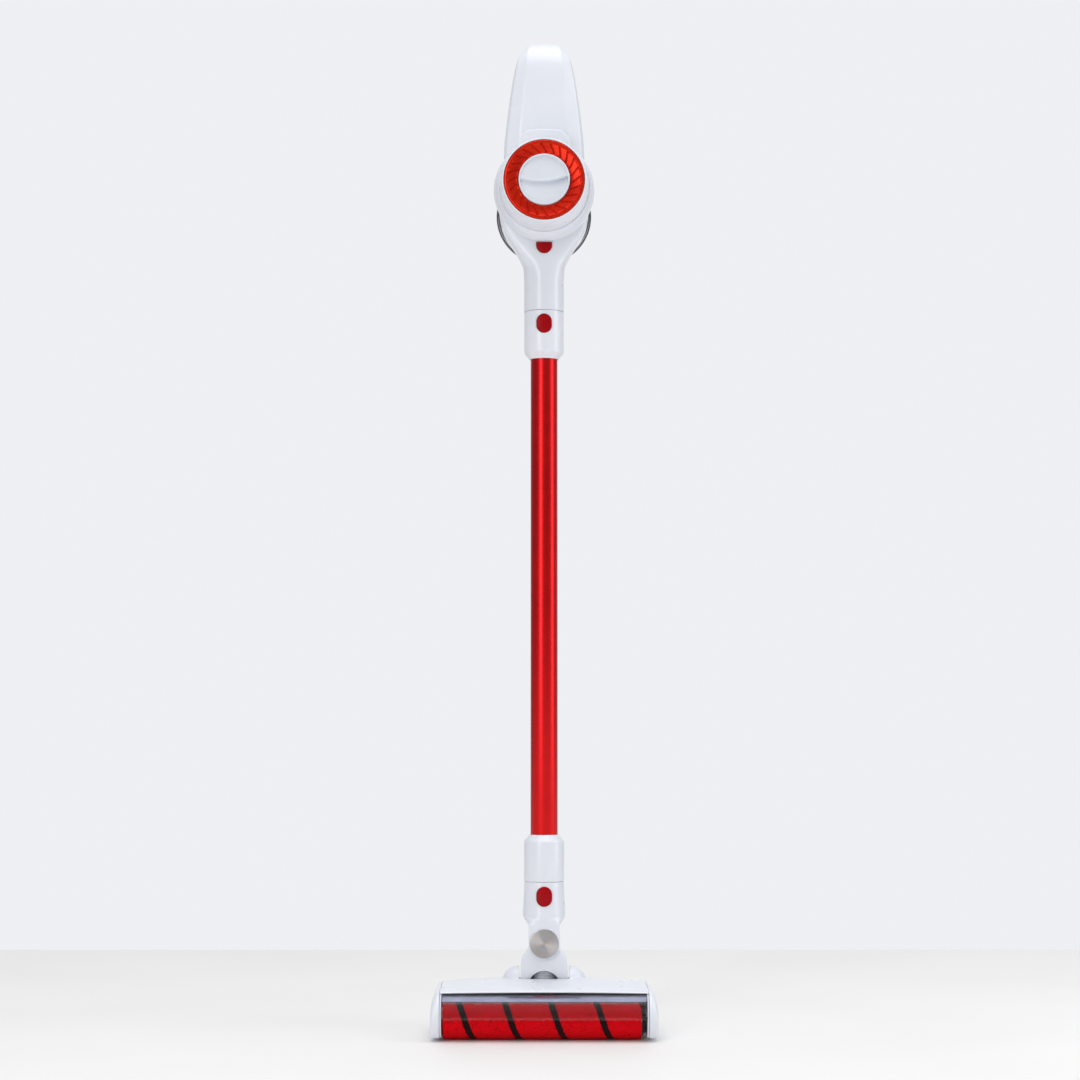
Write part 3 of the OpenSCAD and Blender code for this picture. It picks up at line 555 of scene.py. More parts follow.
def plushPile(name, look):
    # polyester pile, tufted and cut: short dense fibres, with a helix of stiff dark bristles between.
    # A point lies on the helix where x / lead + angle / turn, less its whole turns, falls within the strip.
    material, tree, shader, place3d = startMaterial(name, {"Sheen Weight": 0.12, "Sheen Roughness": 0.5,
        "Sheen Tint": linear("#FF3A3A"), "IOR": 1.4, "Specular IOR Level": 0.15})
    centred = addNode(tree, "ShaderNodeMapping", {"Location": (-look["stripAt"] * mm, -rollerY * mm,
        -rollerZ * mm)}, {"Vector": place3d}).outputs["Vector"]
    parts = addNode(tree, "ShaderNodeSeparateXYZ", links={"Vector": centred})

    def compute(operation, first, second=None, amount=None):
        node = addNode(tree, "ShaderNodeMath", {"operation": operation}, {0: first})
        if second is not None:
            tree.links.new(second, node.inputs[1])
        elif amount is not None:
            node.inputs[1].default_value = amount
        return node.outputs["Value"]

    front = compute("MULTIPLY", parts.outputs["Y"], amount=-1)
    angle = compute("ARCTAN2", parts.outputs["Z"], second=front)
    turn = compute("MULTIPLY", angle, amount=1 / (2 * math.pi))
    along = compute("MULTIPLY", parts.outputs["X"], amount=1 / (look["lead"] * mm))
    fringe = noise(tree, place3d, 1.6, 3.0).outputs["Fac"]
    ragged = compute("ADD", compute("ADD", turn, second=along), second=spread(tree, fringe, 0.488, 0.512))
    phase = compute("ABSOLUTE", compute("SUBTRACT", compute("FRACT", ragged), amount=0.5))
    half = look["stripWidth"] / look["lead"] / 2
    strip = remap(tree, phase, half - 0.006, half + 0.006, 1.0, 0.0)
    tuft = noise(tree, place3d, 1.3, 4.0).outputs["Fac"]
    pile = twoTone(tree, spread(tree, tuft, 0, 1), *look["pile"])
    bristle = twoTone(tree, spread(tree, tuft, 0, 1), *look["bristle"])
    speck = remap(tree, noise(tree, place3d, 2.4, 2.0).outputs["Fac"], 0.64, 0.70, 0.0, 1.0)
    flecked = addNode(tree, "ShaderNodeMix", {"data_type": "RGBA"})
    tree.links.new(speck, flecked.inputs[0])
    tree.links.new(pile, flecked.inputs[6])
    flecked.inputs[7].default_value = linear("#6A0008")
    colour = addNode(tree, "ShaderNodeMix", {"data_type": "RGBA"})
    tree.links.new(strip, colour.inputs[0])
    tree.links.new(flecked.outputs[2], colour.inputs[6])
    tree.links.new(bristle, colour.inputs[7])
    tree.links.new(colour.outputs[2], shader.inputs["Base Color"])
    tree.links.new(spread(tree, tuft, 0.75, 0.95), shader.inputs["Roughness"])
    fibres = noise(tree, place3d, 0.5, 5.0).outputs["Fac"]
    relief = addNode(tree, "ShaderNodeBump", {"Strength": 0.8, "Distance": 0.5 * mm}, {"Height": fibres})
    tree.links.new(relief.outputs["Normal"], shader.inputs["Normal"])
    return material


plush = plushPile("tuftedPlushPile", rollerLook)

slotMaterials = {"white_abs": mouldedAbs, "white_satin": satinAbs, "grey_plastic": greyAbs,
    "dark_plastic": darkNylon, "red_anodised": anodisedRed, "red_ring": lacquerRed, "red_button": glossRed,
    "spun_steel": spunDisc, "bright_steel": groundSteel, "spring_steel": drawnWire,
    "clear_visor": clearVisor, "smoke_lid": smokedLid, "filter_paper": filterPaper, "foam": openFoam,
    "circuit": solderMask, "cell_wrap": shrinkSleeve, "seal_rubber": sealRubber, "belt_rubber": beltRubber,
    "hose_rubber": hoseRubber, "plush": plush, "wheel_rubber": wheelRubber}
for part in frame["record"]["subparts"]:
    node = nodes[part["node"]]
    node.data.materials.clear()
    node.data.materials.append(slotMaterials[part["material_slot"]])
print("materials made:", len(slotMaterials))

# Hand-held cleaner: hub, exhaust and filter knob

hub = {"bulgeRadius": 41.4, "bulgeX": 16.4, "bulgeT": -38.9, "front": -60.0, "back": -21.5, "wall": 2.4,
    "drum": 53.0, "drumFront": -21.2, "drumBack": 22.2, "rim": 45.7, "coverFront": -97.5}
hubCentre = (0, stickY, hubZ)


def makeHubShell():
    # the bulged band: an arc of bulgeRadius outside, and the same arc a wall further in
    reach = np.array([hub["front"], hub["back"]]) - hub["bulgeT"]
    outerEnds = np.arcsin(reach / hub["bulgeRadius"])
    innerRadius = hub["bulgeRadius"] - hub["wall"]
    innerEnds = np.arcsin(reach / innerRadius)
    angle = np.linspace(*outerEnds, 40)
    back = np.linspace(*innerEnds[::-1], 24)
    outer = np.stack([hub["bulgeX"] + hub["bulgeRadius"] * np.cos(angle), hub["bulgeT"]
        + hub["bulgeRadius"] * np.sin(angle)], -1)
    inner = np.stack([hub["bulgeX"] + innerRadius * np.cos(back), hub["bulgeT"]
        + innerRadius * np.sin(back)], -1)
    shell = turned("hubShell", np.vstack([outer, inner]), hubCentre, "y", steps=240)
    finishPiece(shell, "handheld", "white_abs", "hub_shell")


def makeExhaustCover():
    # a cone from the seam to a bright thin lip round the red ring, then back inside
    front, rim = hub["coverFront"], hub["rim"]
    corners = [(rim, front + 7), (rim, front), (47.2, front), (48.3, front + 4), (51.3, hub["front"] - 0.9),
        (49.6, hub["front"] - 0.9), (rim, front + 7)]
    profile = rounded(corners, [0.5, 0.7, 6, 0.6, 0.4], 5)[:-1]
    cover = turned("exhaustCover", profile, hubCentre, "y", steps=240)
    finishPiece(cover, "handheld", "white_abs", "exhaust_cover")
    # the tab above it, whose back follows the handle
    tabLine = loop([(-31, 40), (31, 40), (29, 56), (21, 65), (0, 67), (-21, 65), (-29, 56)], [1, 1, 6, 9,
        40, 9, 6], 200)
    tab = slab("coverTab", tabLine, (-54.0, -61.4), edges=(0.3, 1.3), centre=hubCentre)
    finishPiece(tab, "handheld", "white_abs", "exhaust_cover")


ringLook = {"inner": 29.4, "outer": 45.3, "vanes": 24, "slant": 36, "slotFrom": 30.6, "slotTo": 41.4,
    "slotWide": 1.6, "depth": 1.9, "tilt": 0.9}


def makeExhaustRing():
    # a dished ring with slots slanted to the radius; each vane between them leans slightly into its slot
    rows, cols = 64, 24 * 40
    r = np.linspace(ringLook["inner"], ringLook["outer"], rows)[:, None]
    angle = np.linspace(0, 2 * np.pi, cols, endpoint=False)[None]
    dish = smoothCurve([29.4, 30.2, 34, 39, 42.6, 44.4, 45.3], np.array([[-95.2, -96.0, -96.5, -97.3, -98.0,
        -97.7, -96.4]]).T, r[:, 0])
    twist = math.tan(math.radians(ringLook["slant"])) * np.log(r / 36.2)
    phase = ringLook["vanes"] * (angle - twist) / (2 * np.pi)
    tooth = phase - np.floor(phase)
    pitch = 2 * np.pi * r / ringLook["vanes"] * math.cos(math.radians(ringLook["slant"]))
    away = np.minimum(tooth, 1 - tooth) * pitch
    slot = np.clip((ringLook["slotWide"] / 2 + 0.25 - away) / 0.5, 0, 1)
    t = np.clip((r - ringLook["slotFrom"]) / 0.9, 0, 1) * np.clip((ringLook["slotTo"] - r) / 0.9, 0, 1)
    depth = t * (ringLook["depth"] * slot * slot * (3 - 2 * slot) + ringLook["tilt"] * tooth * (1 - slot))
    front = np.stack([r * np.cos(angle), dish + depth, r * np.sin(angle)], -1)
    back = np.stack([r[::-1] * np.cos(angle), np.full((rows, cols), -86.0), r[::-1] * np.sin(angle)],
        -1)[::21]
    ring = sheet("exhaustRing", np.concatenate([front, back]) + hubCentre, aroundRows=True, aroundCols=True,
        sharp=50)
    outward(ring)
    finishPiece(ring, "handheld", "red_ring", "exhaust_ring")


knobLook = {"radius": 28.8, "lip": 1.7, "front": -100.0, "foldLow": -2.4, "foldTilt": 0.066,
    "foldBend": 0.0065}


def makeFilterKnob():
    # a disc with a raised lip. The upper half leans forward to a curved fold, z = low + tilt x + bend x^2,
    # under which the finger scoop drops back, and the lower half climbs forward again to the lip.
    rows, cols = 150, 220
    r = np.concatenate([[0.02], np.linspace(0.5, knobLook["radius"], rows)])[:, None]
    angle = np.linspace(0, 2 * np.pi, cols, endpoint=False)[None]
    x, z = r * np.cos(angle), r * np.sin(angle)
    fold = knobLook["foldLow"] + knobLook["foldTilt"] * x + knobLook["foldBend"] * x ** 2
    over = z - fold
    upper = -98.5 + 1.6 * np.clip(over / 28, 0, 1) ** 1.3 - 0.6 * np.exp(-((over - 1.4) / 1.3) ** 2)
    drop = 4.4 + 0.07 * x
    lower = -98.5 + drop * np.exp(-np.clip(-over, 0, None) / 13)
    share = np.clip((over + 0.8) / 0.8, 0, 1)
    share = share * share * (3 - 2 * share)
    face = share * upper + (1 - share) * lower
    lipAt = knobLook["radius"] - knobLook["lip"]
    toLip = np.clip((r - lipAt + 0.6) / 0.6, 0, 1)
    toLip = toLip * toLip * (3 - 2 * toLip)
    outside = np.clip((r - knobLook["radius"] + 0.7) / 0.7, 0, 1)
    lipFace = knobLook["front"] + 0.7 * (1 - np.sqrt(np.clip(1 - outside ** 2, 0, 1)))
    t = toLip * lipFace + (1 - toLip) * face
    front = np.stack([x, t, z], -1)
    edge = np.stack([x[-1], np.full(cols, -89.5), z[-1]], -1)[None]
    knob = sheet("filterKnob", np.concatenate([front, edge]) + hubCentre, aroundCols=True, capped=True,
        sharp=60)
    outward(knob)
    finishPiece(knob, "exhaust_filter", "white_satin", "filter_knob")


makeHubShell()
makeExhaustCover()
makeExhaustRing()
makeFilterKnob()
print("hub made")

# Hand-held cleaner: neck, flare and drum

buttonLook = {"width": 17.4, "height": 22.0}
flare = {"below": (-134.2, -100, -96, -84.5, -75, -67, -58, -48, -31.5, -22), "shape": ((23.2, 23.2, 2),
    (23.2, 23.2, 2), (23.3, 23.1, 2.02), (24, 22.6, 2.3), (27.4, 21.9, 2.9), (31.4, 21.5, 4), (36.6, 21.3,
    5.4), (43.6, 21.3, 7), (49.6, 21.3, 9), (50.4, 21.3, 9))}


def pocketCutter(z, outline, depth=-17.0):
    return slab("cutter", outline, (-40, depth), edges=(0, 0.3), centre=(0, stickY, z))


def makeBodyNeck():
    # sections of superellipses whose half-widths, half-depths and exponents run smoothly up the neck
    below = np.linspace(flare["below"][0], flare["below"][-1], 130)
    shape = smoothCurve(flare["below"], flare["shape"], below)
    grid = sectionRings(shape, hubZ + below)
    grid[..., 1] += stickY
    edge = grid[:1].copy()
    edge[..., :2] = (edge[..., :2] - (0, stickY)) * (22.8 / 23.2) + (0, stickY)
    grid[0, :, 2] += 0.4
    neck = sheet("bodyNeck", np.concatenate([edge, grid]), aroundCols=True, capped=True)
    outward(neck)
    bore = drill(19.3, (-140, -89), (0, stickY, hubZ), "z", 120)
    combine(neck, [bore, pocketCutter(hubZ - 58, cupButtonOutline(0.3))])
    finishPiece(neck, "handheld", "white_abs", "main_body")


def cupButtonOutline(grow):
    # a half circle below, straight sides and a flat top 2 mm above the button's middle
    angle = np.linspace(np.pi, 2 * np.pi, 60)
    r = 9.0 + grow
    arc = np.stack([r * np.cos(angle), r * np.sin(angle) - 1.6], -1)
    return evenly(np.vstack([arc, [(r, 2 + grow), (-r, 2 + grow)]]), 140, closed=True)


def makeBodyDrum():
    # a shallow drum open to the front, with the wall that the cup docks against
    drum, front, back = hub["drum"], hub["drumFront"], hub["drumBack"]
    corners = [(18, back), (drum, back), (drum, front), (drum - 2.4, front), (drum - 2.4, back - 2.2),
        (18, back - 2.2), (18, back)]
    body = turned("bodyDrum", rounded(corners, [0.8, 0.5, 0.5, 0.4, 0.3], 4)[:-1], hubCentre, "y",
        steps=240)
    inlet = drill(14, (10, 30), (0, stickY, hubZ - 36.5), "y", 96)
    recesses = [drill(3.2, (20.8, 30), (42 * math.cos(a), stickY, hubZ + 42 * math.sin(a)), "y", 48)
        for a in np.radians([30, 90, 150])]
    combine(body, [inlet, *recesses])
    finishPiece(body, "handheld", "white_abs", "main_body")
    # the air tube that runs forward from the wall, and the elbow behind the inlet
    tube = turned("cleanAirTube", rounded([(18, -14), (19.5, -14), (19.5, 20.5), (18, 20.5), (18, -14)],
        [0.4, 0, 0], 4)[:-1], hubCentre, "y", steps=96)
    finishPiece(tube, "handheld", "white_abs", "main_body")
    elbow = turned("inletElbow", [(14, -2), (16, -2), (16, 20.6), (14, 20.6)], (0, stickY, hubZ - 36.5),
        "y", 96)
    finishPiece(elbow, "handheld", "white_abs", "main_body")


def makeCupButton():
    button = slab("cupReleaseButton", cupButtonOutline(0), (-19.4, -23.4), edges=(0.2, 0.8), crown=0.6,
        centre=(0, stickY, hubZ - 58))
    finishPiece(button, "cup_button", "red_button", "cup_release_button")


makeBodyNeck()
makeBodyDrum()
makeCupButton()
print("body made")

# Handle, trigger and mode button

handle = {"stations": ((-34, 16, 0, 46.5, 20), (-34, 40, 0, 45.9, 19.5), (-33.5, 73, 2, 42.7, 18),
    (-32, 107, 4, 38.2, 16.5), (-30.5, 127, 5, 34.9, 16.5), (-27.5, 140, 28, 32, 17), (-20, 149, 55, 27.5,
    17.5), (-8, 153, 80, 23, 17.7), (8, 153.5, 92, 19, 17), (30, 152, 95, 17, 16.5), (55, 149, 97, 17,
    16.5), (72, 147, 90, 17.5, 17)), "wall": 2.4, "seam": 0.15}


def handleSheet(name, section, side):
    # the half section (across, outward) is carried along the path, turned by the path's own angle
    stations = np.array(handle["stations"], float)
    run = np.concatenate([[0], np.cumsum(np.hypot(np.diff(stations[:, 0]), np.diff(stations[:, 1])))])
    path = smoothCurve(run, stations, np.linspace(0, run[-1], 190))
    y, z, turn, halfWidth, halfDepth = (path[:, k][:, None] for k in range(5))
    outwardBy = side * (section[None, :, 1] * halfDepth + handle["seam"])
    turn = np.radians(turn)
    grid = np.stack([section[None, :, 0] * halfWidth, stickY + y - np.cos(turn) * outwardBy,
        gripZ + z + np.sin(turn) * outwardBy], -1)
    return sheet(name, grid)


def makeHandle():
    # the cover has a flat face between two soft creases, and its sides slant back to the seam
    creased = evenly(rounded([(1, 0), (0.995, 0.28), (0.93, 0.60), (0.60, 0.965), (0, 1.0), (-0.60, 0.965),
        (-0.93, 0.60), (-0.995, 0.28), (-1, 0)], [0.2, 0.25, 0.16, 1, 0.16, 0.25, 0.2], 8), 90)
    cover = handleSheet("handleTopCover", creased, 1)
    facing(cover, (0, stickY, gripZ + 90))
    thicken(cover, handle["wall"], edge=0.25, sharp=50)
    hole = slab("cutter", roundedBox(11.4, 14.4, 3.1), (gripZ + 160, gripZ + 180), (0, 0), centre=(0,
        stickY + 15, 0), axis="z")
    combine(cover, [hole])
    finishPiece(cover, "handheld", "white_abs", "handle_top_cover")
    angle = np.linspace(0, np.pi, 70)
    grip = handleSheet("handleGripShell", superEllipse(1, 1, 2.5, angle), -1)
    facing(grip, (0, stickY - 34, gripZ + 150))
    thicken(grip, handle["wall"], edge=0.25, sharp=50)
    slot = slab("cutter", roundedBox(15, 25.6, 2.5), (gripZ + 120, gripZ + 146), (0, 0), centre=(0,
        stickY + 7, 0), axis="z")
    combine(grip, [slot])
    finishPiece(grip, "handheld", "white_satin", "handle_grip_shell")


def makeTrigger():
    # a hooked blade for the finger, on a plate inside the grip
    side = loop([(-5, 141), (-5, 131), (-3.5, 125.5), (0.5, 122), (5, 123.5), (10, 127), (15, 128.5),
        (19, 128), (19, 141)], [0.3, 3, 4, 3, 3, 4, 3, 1.5, 0.3], 140)
    blade = slab("triggerBlade", side, (-7, 7), edges=(1.6, 1.6), centre=(0, stickY, gripZ), axis="x")
    finishPiece(blade, "trigger_lever", "red_button", "trigger")
    plate = slab("triggerPlate", roundedBox(16.8, 27, 1.5), (gripZ + 140.4, gripZ + 142), (0.3, 0.3),
        centre=(0, stickY + 7, 0), axis="z")
    finishPiece(plate, "trigger_lever", "red_button", "trigger")


def makeModeButton():
    key = slab("modeButton", roundedBox(10.6, 13.6, 2.8), (gripZ + 165.5, gripZ + 170.4), (0.2, 0.9),
        crown=0.6, centre=(0, stickY + 15, 0), axis="z")
    finishPiece(key, "mode_key", "grey_plastic", "mode_button")


makeHandle()
makeTrigger()
makeModeButton()
print("handle made")

# Battery and its bay

battery = {"bayWidth": 68.0, "bayDepth": 45.7, "bayY": 95.15, "bayLow": 76.0, "bayHigh": 163.0,
    "bayRadius": 7.0, "width": 63.0, "depth": 38.8, "y": 93.9, "low": 78.8, "high": 167.0, "radius": 4.6}


def makeBatteryBay():
    b = battery
    bay = slab("batteryBay", roundedBox(b["bayWidth"], b["bayDepth"], b["bayRadius"], 200),
        (gripZ + b["bayLow"], gripZ + b["bayHigh"]), edges=(3.0, 0.8), centre=(0, stickY + b["bayY"], 0),
        axis="z")
    inside = slab("cutter", roundedBox(64, 39.6, 5, 200), (gripZ + b["bayLow"] + 2.5, gripZ + 200),
        (0.6, 0), centre=(0, stickY + b["y"], 0), axis="z")
    groove = slab("cutter", roundedBox(22, 40, 1), (gripZ + b["bayLow"] - 20, gripZ + b["bayLow"] + 40),
        (0, 0), centre=(0, stickY + 135, 0), axis="z")
    combine(bay, [inside, groove])
    finishPiece(bay, "handheld", "white_abs", "battery_bay")


def makeBattery():
    b = battery
    case = slab("batteryCase", roundedBox(b["width"], b["depth"], b["radius"], 200), (gripZ + b["low"],
        gripZ + b["high"]), edges=(1.0, 1.4), centre=(0, stickY + b["y"], 0), axis="z")
    socket = drill(5.1, (155.5, 170), (0, stickY + 103, gripZ), "z", 64)
    recess = slab("cutter", roundedBox(17.6, 9.6, 2), (gripZ + 163, gripZ + 175), (0.2, 0), centre=(0,
        stickY + 83, 0), axis="z")
    combine(case, [socket, recess])
    finishPiece(case, "battery", "white_abs", "battery_case")
    latch = slab("batteryLatch", roundedBox(17, 9, 1.8), (gripZ + 164.6, gripZ + 168.1), (0.2, 0.6),
        crown=0.5, centre=(0, stickY + 83, 0), axis="z")
    finishPiece(latch, "battery_catch", "grey_plastic", "battery_latch")


makeBatteryBay()
makeBattery()
print("battery made")

# Dust cup and lid

cup = {"front": 24.3, "back": 88.0, "outer": 53.3, "inner": 50.9, "lidBack": 110.0, "hingeY": 88.15,
    "hingeBelow": 60.3}


def makeDustCup():
    front, back, outer, inner = cup["front"], cup["back"], cup["outer"], cup["inner"]
    corners = [(inner, front), (outer, front), (outer, back), (inner, back), (inner, front)]
    wall = turned("cupWall", rounded(corners, [0.6, 0.5, 0.3], 4)[:-1], hubCentre, "y", steps=240)
    finishPiece(wall, "dust_cup", "white_abs", "cup_wall")
    hingeZ = -cup["hingeBelow"]
    for side in (-1, 1):
        arm = loop([(cup["hingeY"] - 9, hingeZ + 7.6), (cup["hingeY"] - 9, hingeZ + 0.5),
            (cup["hingeY"] - 2, hingeZ - 4), (cup["hingeY"] + 4, hingeZ - 4), (cup["hingeY"] + 4,
            hingeZ + 4), (cup["hingeY"] - 1, hingeZ + 4), (cup["hingeY"] - 1, hingeZ + 7.6)], [0.3, 4, 3,
            3.9, 3.9, 1, 0.3], 100)
        lug = slab("cupLug" + ("Left" if side < 0 else "Right"), arm, (side * 6, side * 14), (0.5, 0.5),
            centre=(0, stickY, hubZ), axis="x")
        pinHole = drill(2.03, (-20, 20), (0, stickY + cup["hingeY"], hubZ + hingeZ), "x", 48)
        combine(lug, [pinHole])
        finishPiece(lug, "dust_cup", "white_abs", "cup_wall")
    pad = slab("latchPad", roundedBox(18, 20, 1.5), (hubZ + 52.4, hubZ + 54.4), (0, 0.5), centre=(0,
        stickY + 76, 0), axis="z")
    finishPiece(pad, "dust_cup", "white_abs", "cup_wall")


def makeCupLid():
    # a deep smoked cap whose rim stands proud near its back
    front, back = cup["back"] + 0.3, cup["lidBack"]
    corners = [(53.6, back - 2.2), (53.6, front), (55.7, front), (55.7, 102.6), (57.1, 104.2),
        (57.1, 107.4), (54.4, back), (40, back), (36, back - 0.9), (0.01, back - 0.9), (0.01, back - 2.6),
        (36, back - 2.6), (53.6, back - 2.2)]
    profile = rounded(corners, [0.3, 0.5, 1.5, 0.8, 1.2, 1.5, 1.5, 3, 0, 0, 0], 5)[:-1]
    lid = turned("cupLid", profile, hubCentre, "y", steps=240)
    finishPiece(lid, "dust_lid", "smoke_lid", "cup_lid")
    hingeZ = -cup["hingeBelow"]
    arm = loop([(cup["hingeY"] + 9, hingeZ + 5.2), (cup["hingeY"] + 9, hingeZ + 0.5), (cup["hingeY"] + 2,
        hingeZ - 4), (cup["hingeY"] - 4, hingeZ - 4), (cup["hingeY"] - 4, hingeZ + 4), (cup["hingeY"] + 1,
        hingeZ + 4), (cup["hingeY"] + 1, hingeZ + 5.2)], [0.3, 4, 3, 3.9, 3.9, 0.8, 0.3], 100)
    knuckle = slab("lidKnuckle", arm, (-5.7, 5.7), (0.4, 0.4), centre=(0, stickY, hubZ), axis="x")
    pinHole = drill(2.06, (-20, 20), (0, stickY + cup["hingeY"], hubZ + hingeZ), "x", 48)
    combine(knuckle, [pinHole])
    finishPiece(knuckle, "dust_lid", "smoke_lid", "cup_lid")


def makeLidLatch():
    side = loop([(70, 54.8), (84, 54.8), (84.6, 56.3), (93, 56.3), (93, 57.4), (84, 58.4), (74, 58.4),
        (70, 56)], [0.3, 0.3, 0.3, 0.4, 0.5, 2, 2, 0.8], 120)
    latch = slab("lidLatch", side, (-6, 6), (0.5, 0.5), centre=(0, stickY, hubZ), axis="x")
    finishPiece(latch, "lid_catch", "grey_plastic", "lid_latch")


makeDustCup()
makeCupLid()
makeLidLatch()
print("dust cup made")

# Wand

wand = {"tube": 15.5, "wall": 1.2, "collar": 23.0, "spigot": 18.8, "tubeLow": 207.0, "lowerSeam": 167.8,
    "upperSeam": hubZ - 134.4, "spigotTop": hubZ - 91.0, "upperButton": hubZ - 150.3, "lowerButton": 151.5}
stickCentre = (0, stickY, 0)


def makeTube():
    outer, inner = wand["tube"], wand["tube"] - wand["wall"]
    low, high = wand["tubeLow"], hubZ - 159
    profile = rounded([(inner, low), (outer, low), (outer, high), (inner, high), (inner, low)], [0.3, 0.3,
        0.3], 3)[:-1]
    tube = turned("wandTube", profile, stickCentre, "z", steps=180)
    finishPiece(tube, "wand", "red_anodised", "wand_tube")


def makeCollars():
    # each collar is a plain sleeve whose end towards the tube is a long soft chamfer
    r, tube = wand["collar"], wand["tube"] + 0.1
    low, seam, top = hubZ - 189.5, wand["upperSeam"], wand["spigotTop"]
    upper = [(tube, low + 28), (tube, low), (r - 6.2, low), (r, low + 7.2), (r, seam - 0.2),
        (wand["spigot"], seam - 0.2), (wand["spigot"], top), (13.4, top), (13.4, low + 28),
        (tube, low + 28)]
    collar = turned("wandUpperCollar", rounded(upper, [0.4, 1.2, 5, 0.5, 0.2, 1.2, 0.6, 0.2], 6)[:-1],
        stickCentre, "z", steps=200)
    combine(collar, [pocketCutter(wand["upperButton"], oval(18.0, 22.6))])
    finishPiece(collar, "wand", "white_abs", "wand_upper_collar")
    seam, high = wand["lowerSeam"], 220.3
    lower = [(19.2, seam), (r, seam), (r, high - 7.2), (r - 6.2, high), (tube, high), (tube, 206),
        (19.2, 206), (19.2, seam)]
    sleeve = turned("wandLowerCollar", rounded(lower, [0.5, 5, 1.2, 0.4, 0.2, 0.4], 6)[:-1], stickCentre,
        "z", steps=200)
    finishPiece(sleeve, "wand", "white_abs", "wand_lower_collar")


def makeOvalButtons():
    for name, body, node, z, front in (("wandReleaseButton", "wand_button", "wand_release_button",
            wand["upperButton"], -23.9), ("neckReleaseButton", "neck_button", "neck_release_button",
            wand["lowerButton"], -24.5)):
        button = slab(name, oval(buttonLook["width"], buttonLook["height"]), (-19.4, front), edges=(0.2,
            1.0), crown=0.7, centre=(0, stickY, z), steps=8)
        finishPiece(button, body, "red_button", node)


makeTube()
makeCollars()
makeOvalButtons()
print("wand made")

# Neck, swivel and yoke

neck = {"seam": 167.6, "foot": 119.5, "plateFrom": 19.5, "plateTo": 24.0, "disc": 16.4, "discFront": -25.4}


def makeNeck():
    # a cone that widens downwards, then narrows from a circle to the flat sided foot that carries the fork
    z = np.concatenate([np.linspace(neck["foot"], 131, 44), np.linspace(131, neck["seam"], 30)[1:]])
    stations = (neck["foot"], 122, 125, 127.5, 129.5, 140, 155, neck["seam"])
    shape = smoothCurve(stations, ((18.2, 24, 7), (19.9, 24, 4.6), (22.2, 24.1, 3.0), (23.7, 24.2, 2.15),
        (24.25, 24.25, 2), (23.8, 23.8, 2), (23.1, 23.1, 2), (22.6, 22.6, 2)), z)
    grid = sectionRings(shape, z)
    rim = grid[-1:].copy() * (22.1 / 22.6, 22.1 / 22.6, 1)
    grid[-1, :, 2] -= 0.4
    body = sheet("neckCollar", np.concatenate([grid, rim]) + stickCentre, aroundCols=True, capped=True)
    outward(body)
    spigot = turned("spigot", rounded([(0, 160), (18.8, 160), (18.8, 205), (0, 205)], [0.1, 0.8], 4),
        stickCentre, "z", 120, closed=False)
    combine(body, [spigot], "UNION")
    plates = []
    corners = [(-17.6, 121)] + [(17.6 * math.cos(a), rollZ + 17.6 * math.sin(a))
        for a in np.linspace(math.pi, 2 * math.pi, 40)] + [(17.6, 121)]
    for side in (-1, 1):
        plates.append(slab("fork", evenly(corners, 160, closed=True), (side * neck["plateFrom"],
            side * neck["plateTo"]), edges=(0.4, 0.7), centre=stickCentre))
    combine(body, plates, "UNION")
    bore = drill(14.3, (110, 210), stickCentre, "z", 96)
    combine(body, [bore, pocketCutter(wand["lowerButton"], oval(18.0, 22.6))])
    finishPiece(body, "head_neck", "white_abs", "neck_collar")


def makeSwivelDisc():
    r, front = neck["disc"], neck["discFront"]
    profile = [(0.01, front), (0.6, front)] + [(x, front) for x in np.linspace(1.5, r - 1.0, 24)]
    profile += [(r - 0.45, front + 0.06), (r - 0.1, front + 0.35), (r, front + 0.8), (r, front + 1.35),
        (0.01, front + 1.35)]
    disc = turned("swivelDisc", profile, (0, stickY, rollZ), "y", steps=180, closed=False, uv=True)
    finishPiece(disc, "head_neck", "spun_steel", "swivel_cap")


def makeYoke():
    # rounded shoulders under the disc, a drum across the bottom, and an arch that shows the hose
    front = [(-26.0, 52), (26.0, 52), (26.1, 70), (25.4, 80.5), (17.6, 92)]
    front += [(17.6 * math.cos(a), rollZ + 17.6 * math.sin(a)) for a in np.linspace(-0.1, math.pi + 0.1,
        40)]
    front += [(-17.6, 92), (-25.4, 80.5), (-26.1, 70)]
    radii = [1, 1, 16, 5, 6] + [0] * 40 + [6, 5, 16]
    head = slab("yoke", loop(front, radii, 240), (19.1, -19.1), edges=(1.6, 1.6), centre=stickCentre)
    drum = slab("drum", evenly([(19.1 * math.cos(a), tiltZ + 19.1 * math.sin(a)) for a in np.linspace(0,
        2 * np.pi, 160)], 160, closed=True), (-26.4, 26.4), edges=(1.2, 1.2), centre=stickCentre, axis="x")
    combine(head, [drum], "UNION")
    bore = drill(15.4, (20, 130), stickCentre, "z", 96)
    window = [(-18.6, 20), (18.6, 20)] + [(18.6 * math.cos(a), 50 + 18.4 * math.sin(a))
        for a in np.linspace(0, math.pi, 40)]
    arch = slab("cutter", evenly(window, 160, closed=True), (0, -40), edges=(0, 0), centre=stickCentre)
    combine(head, [bore, arch])
    finishPiece(head, "swivel_yoke", "white_abs", "yoke")


hose = {"radius": 12.0, "bend": 17.0, "duct": 39.0, "rib": 3.4}


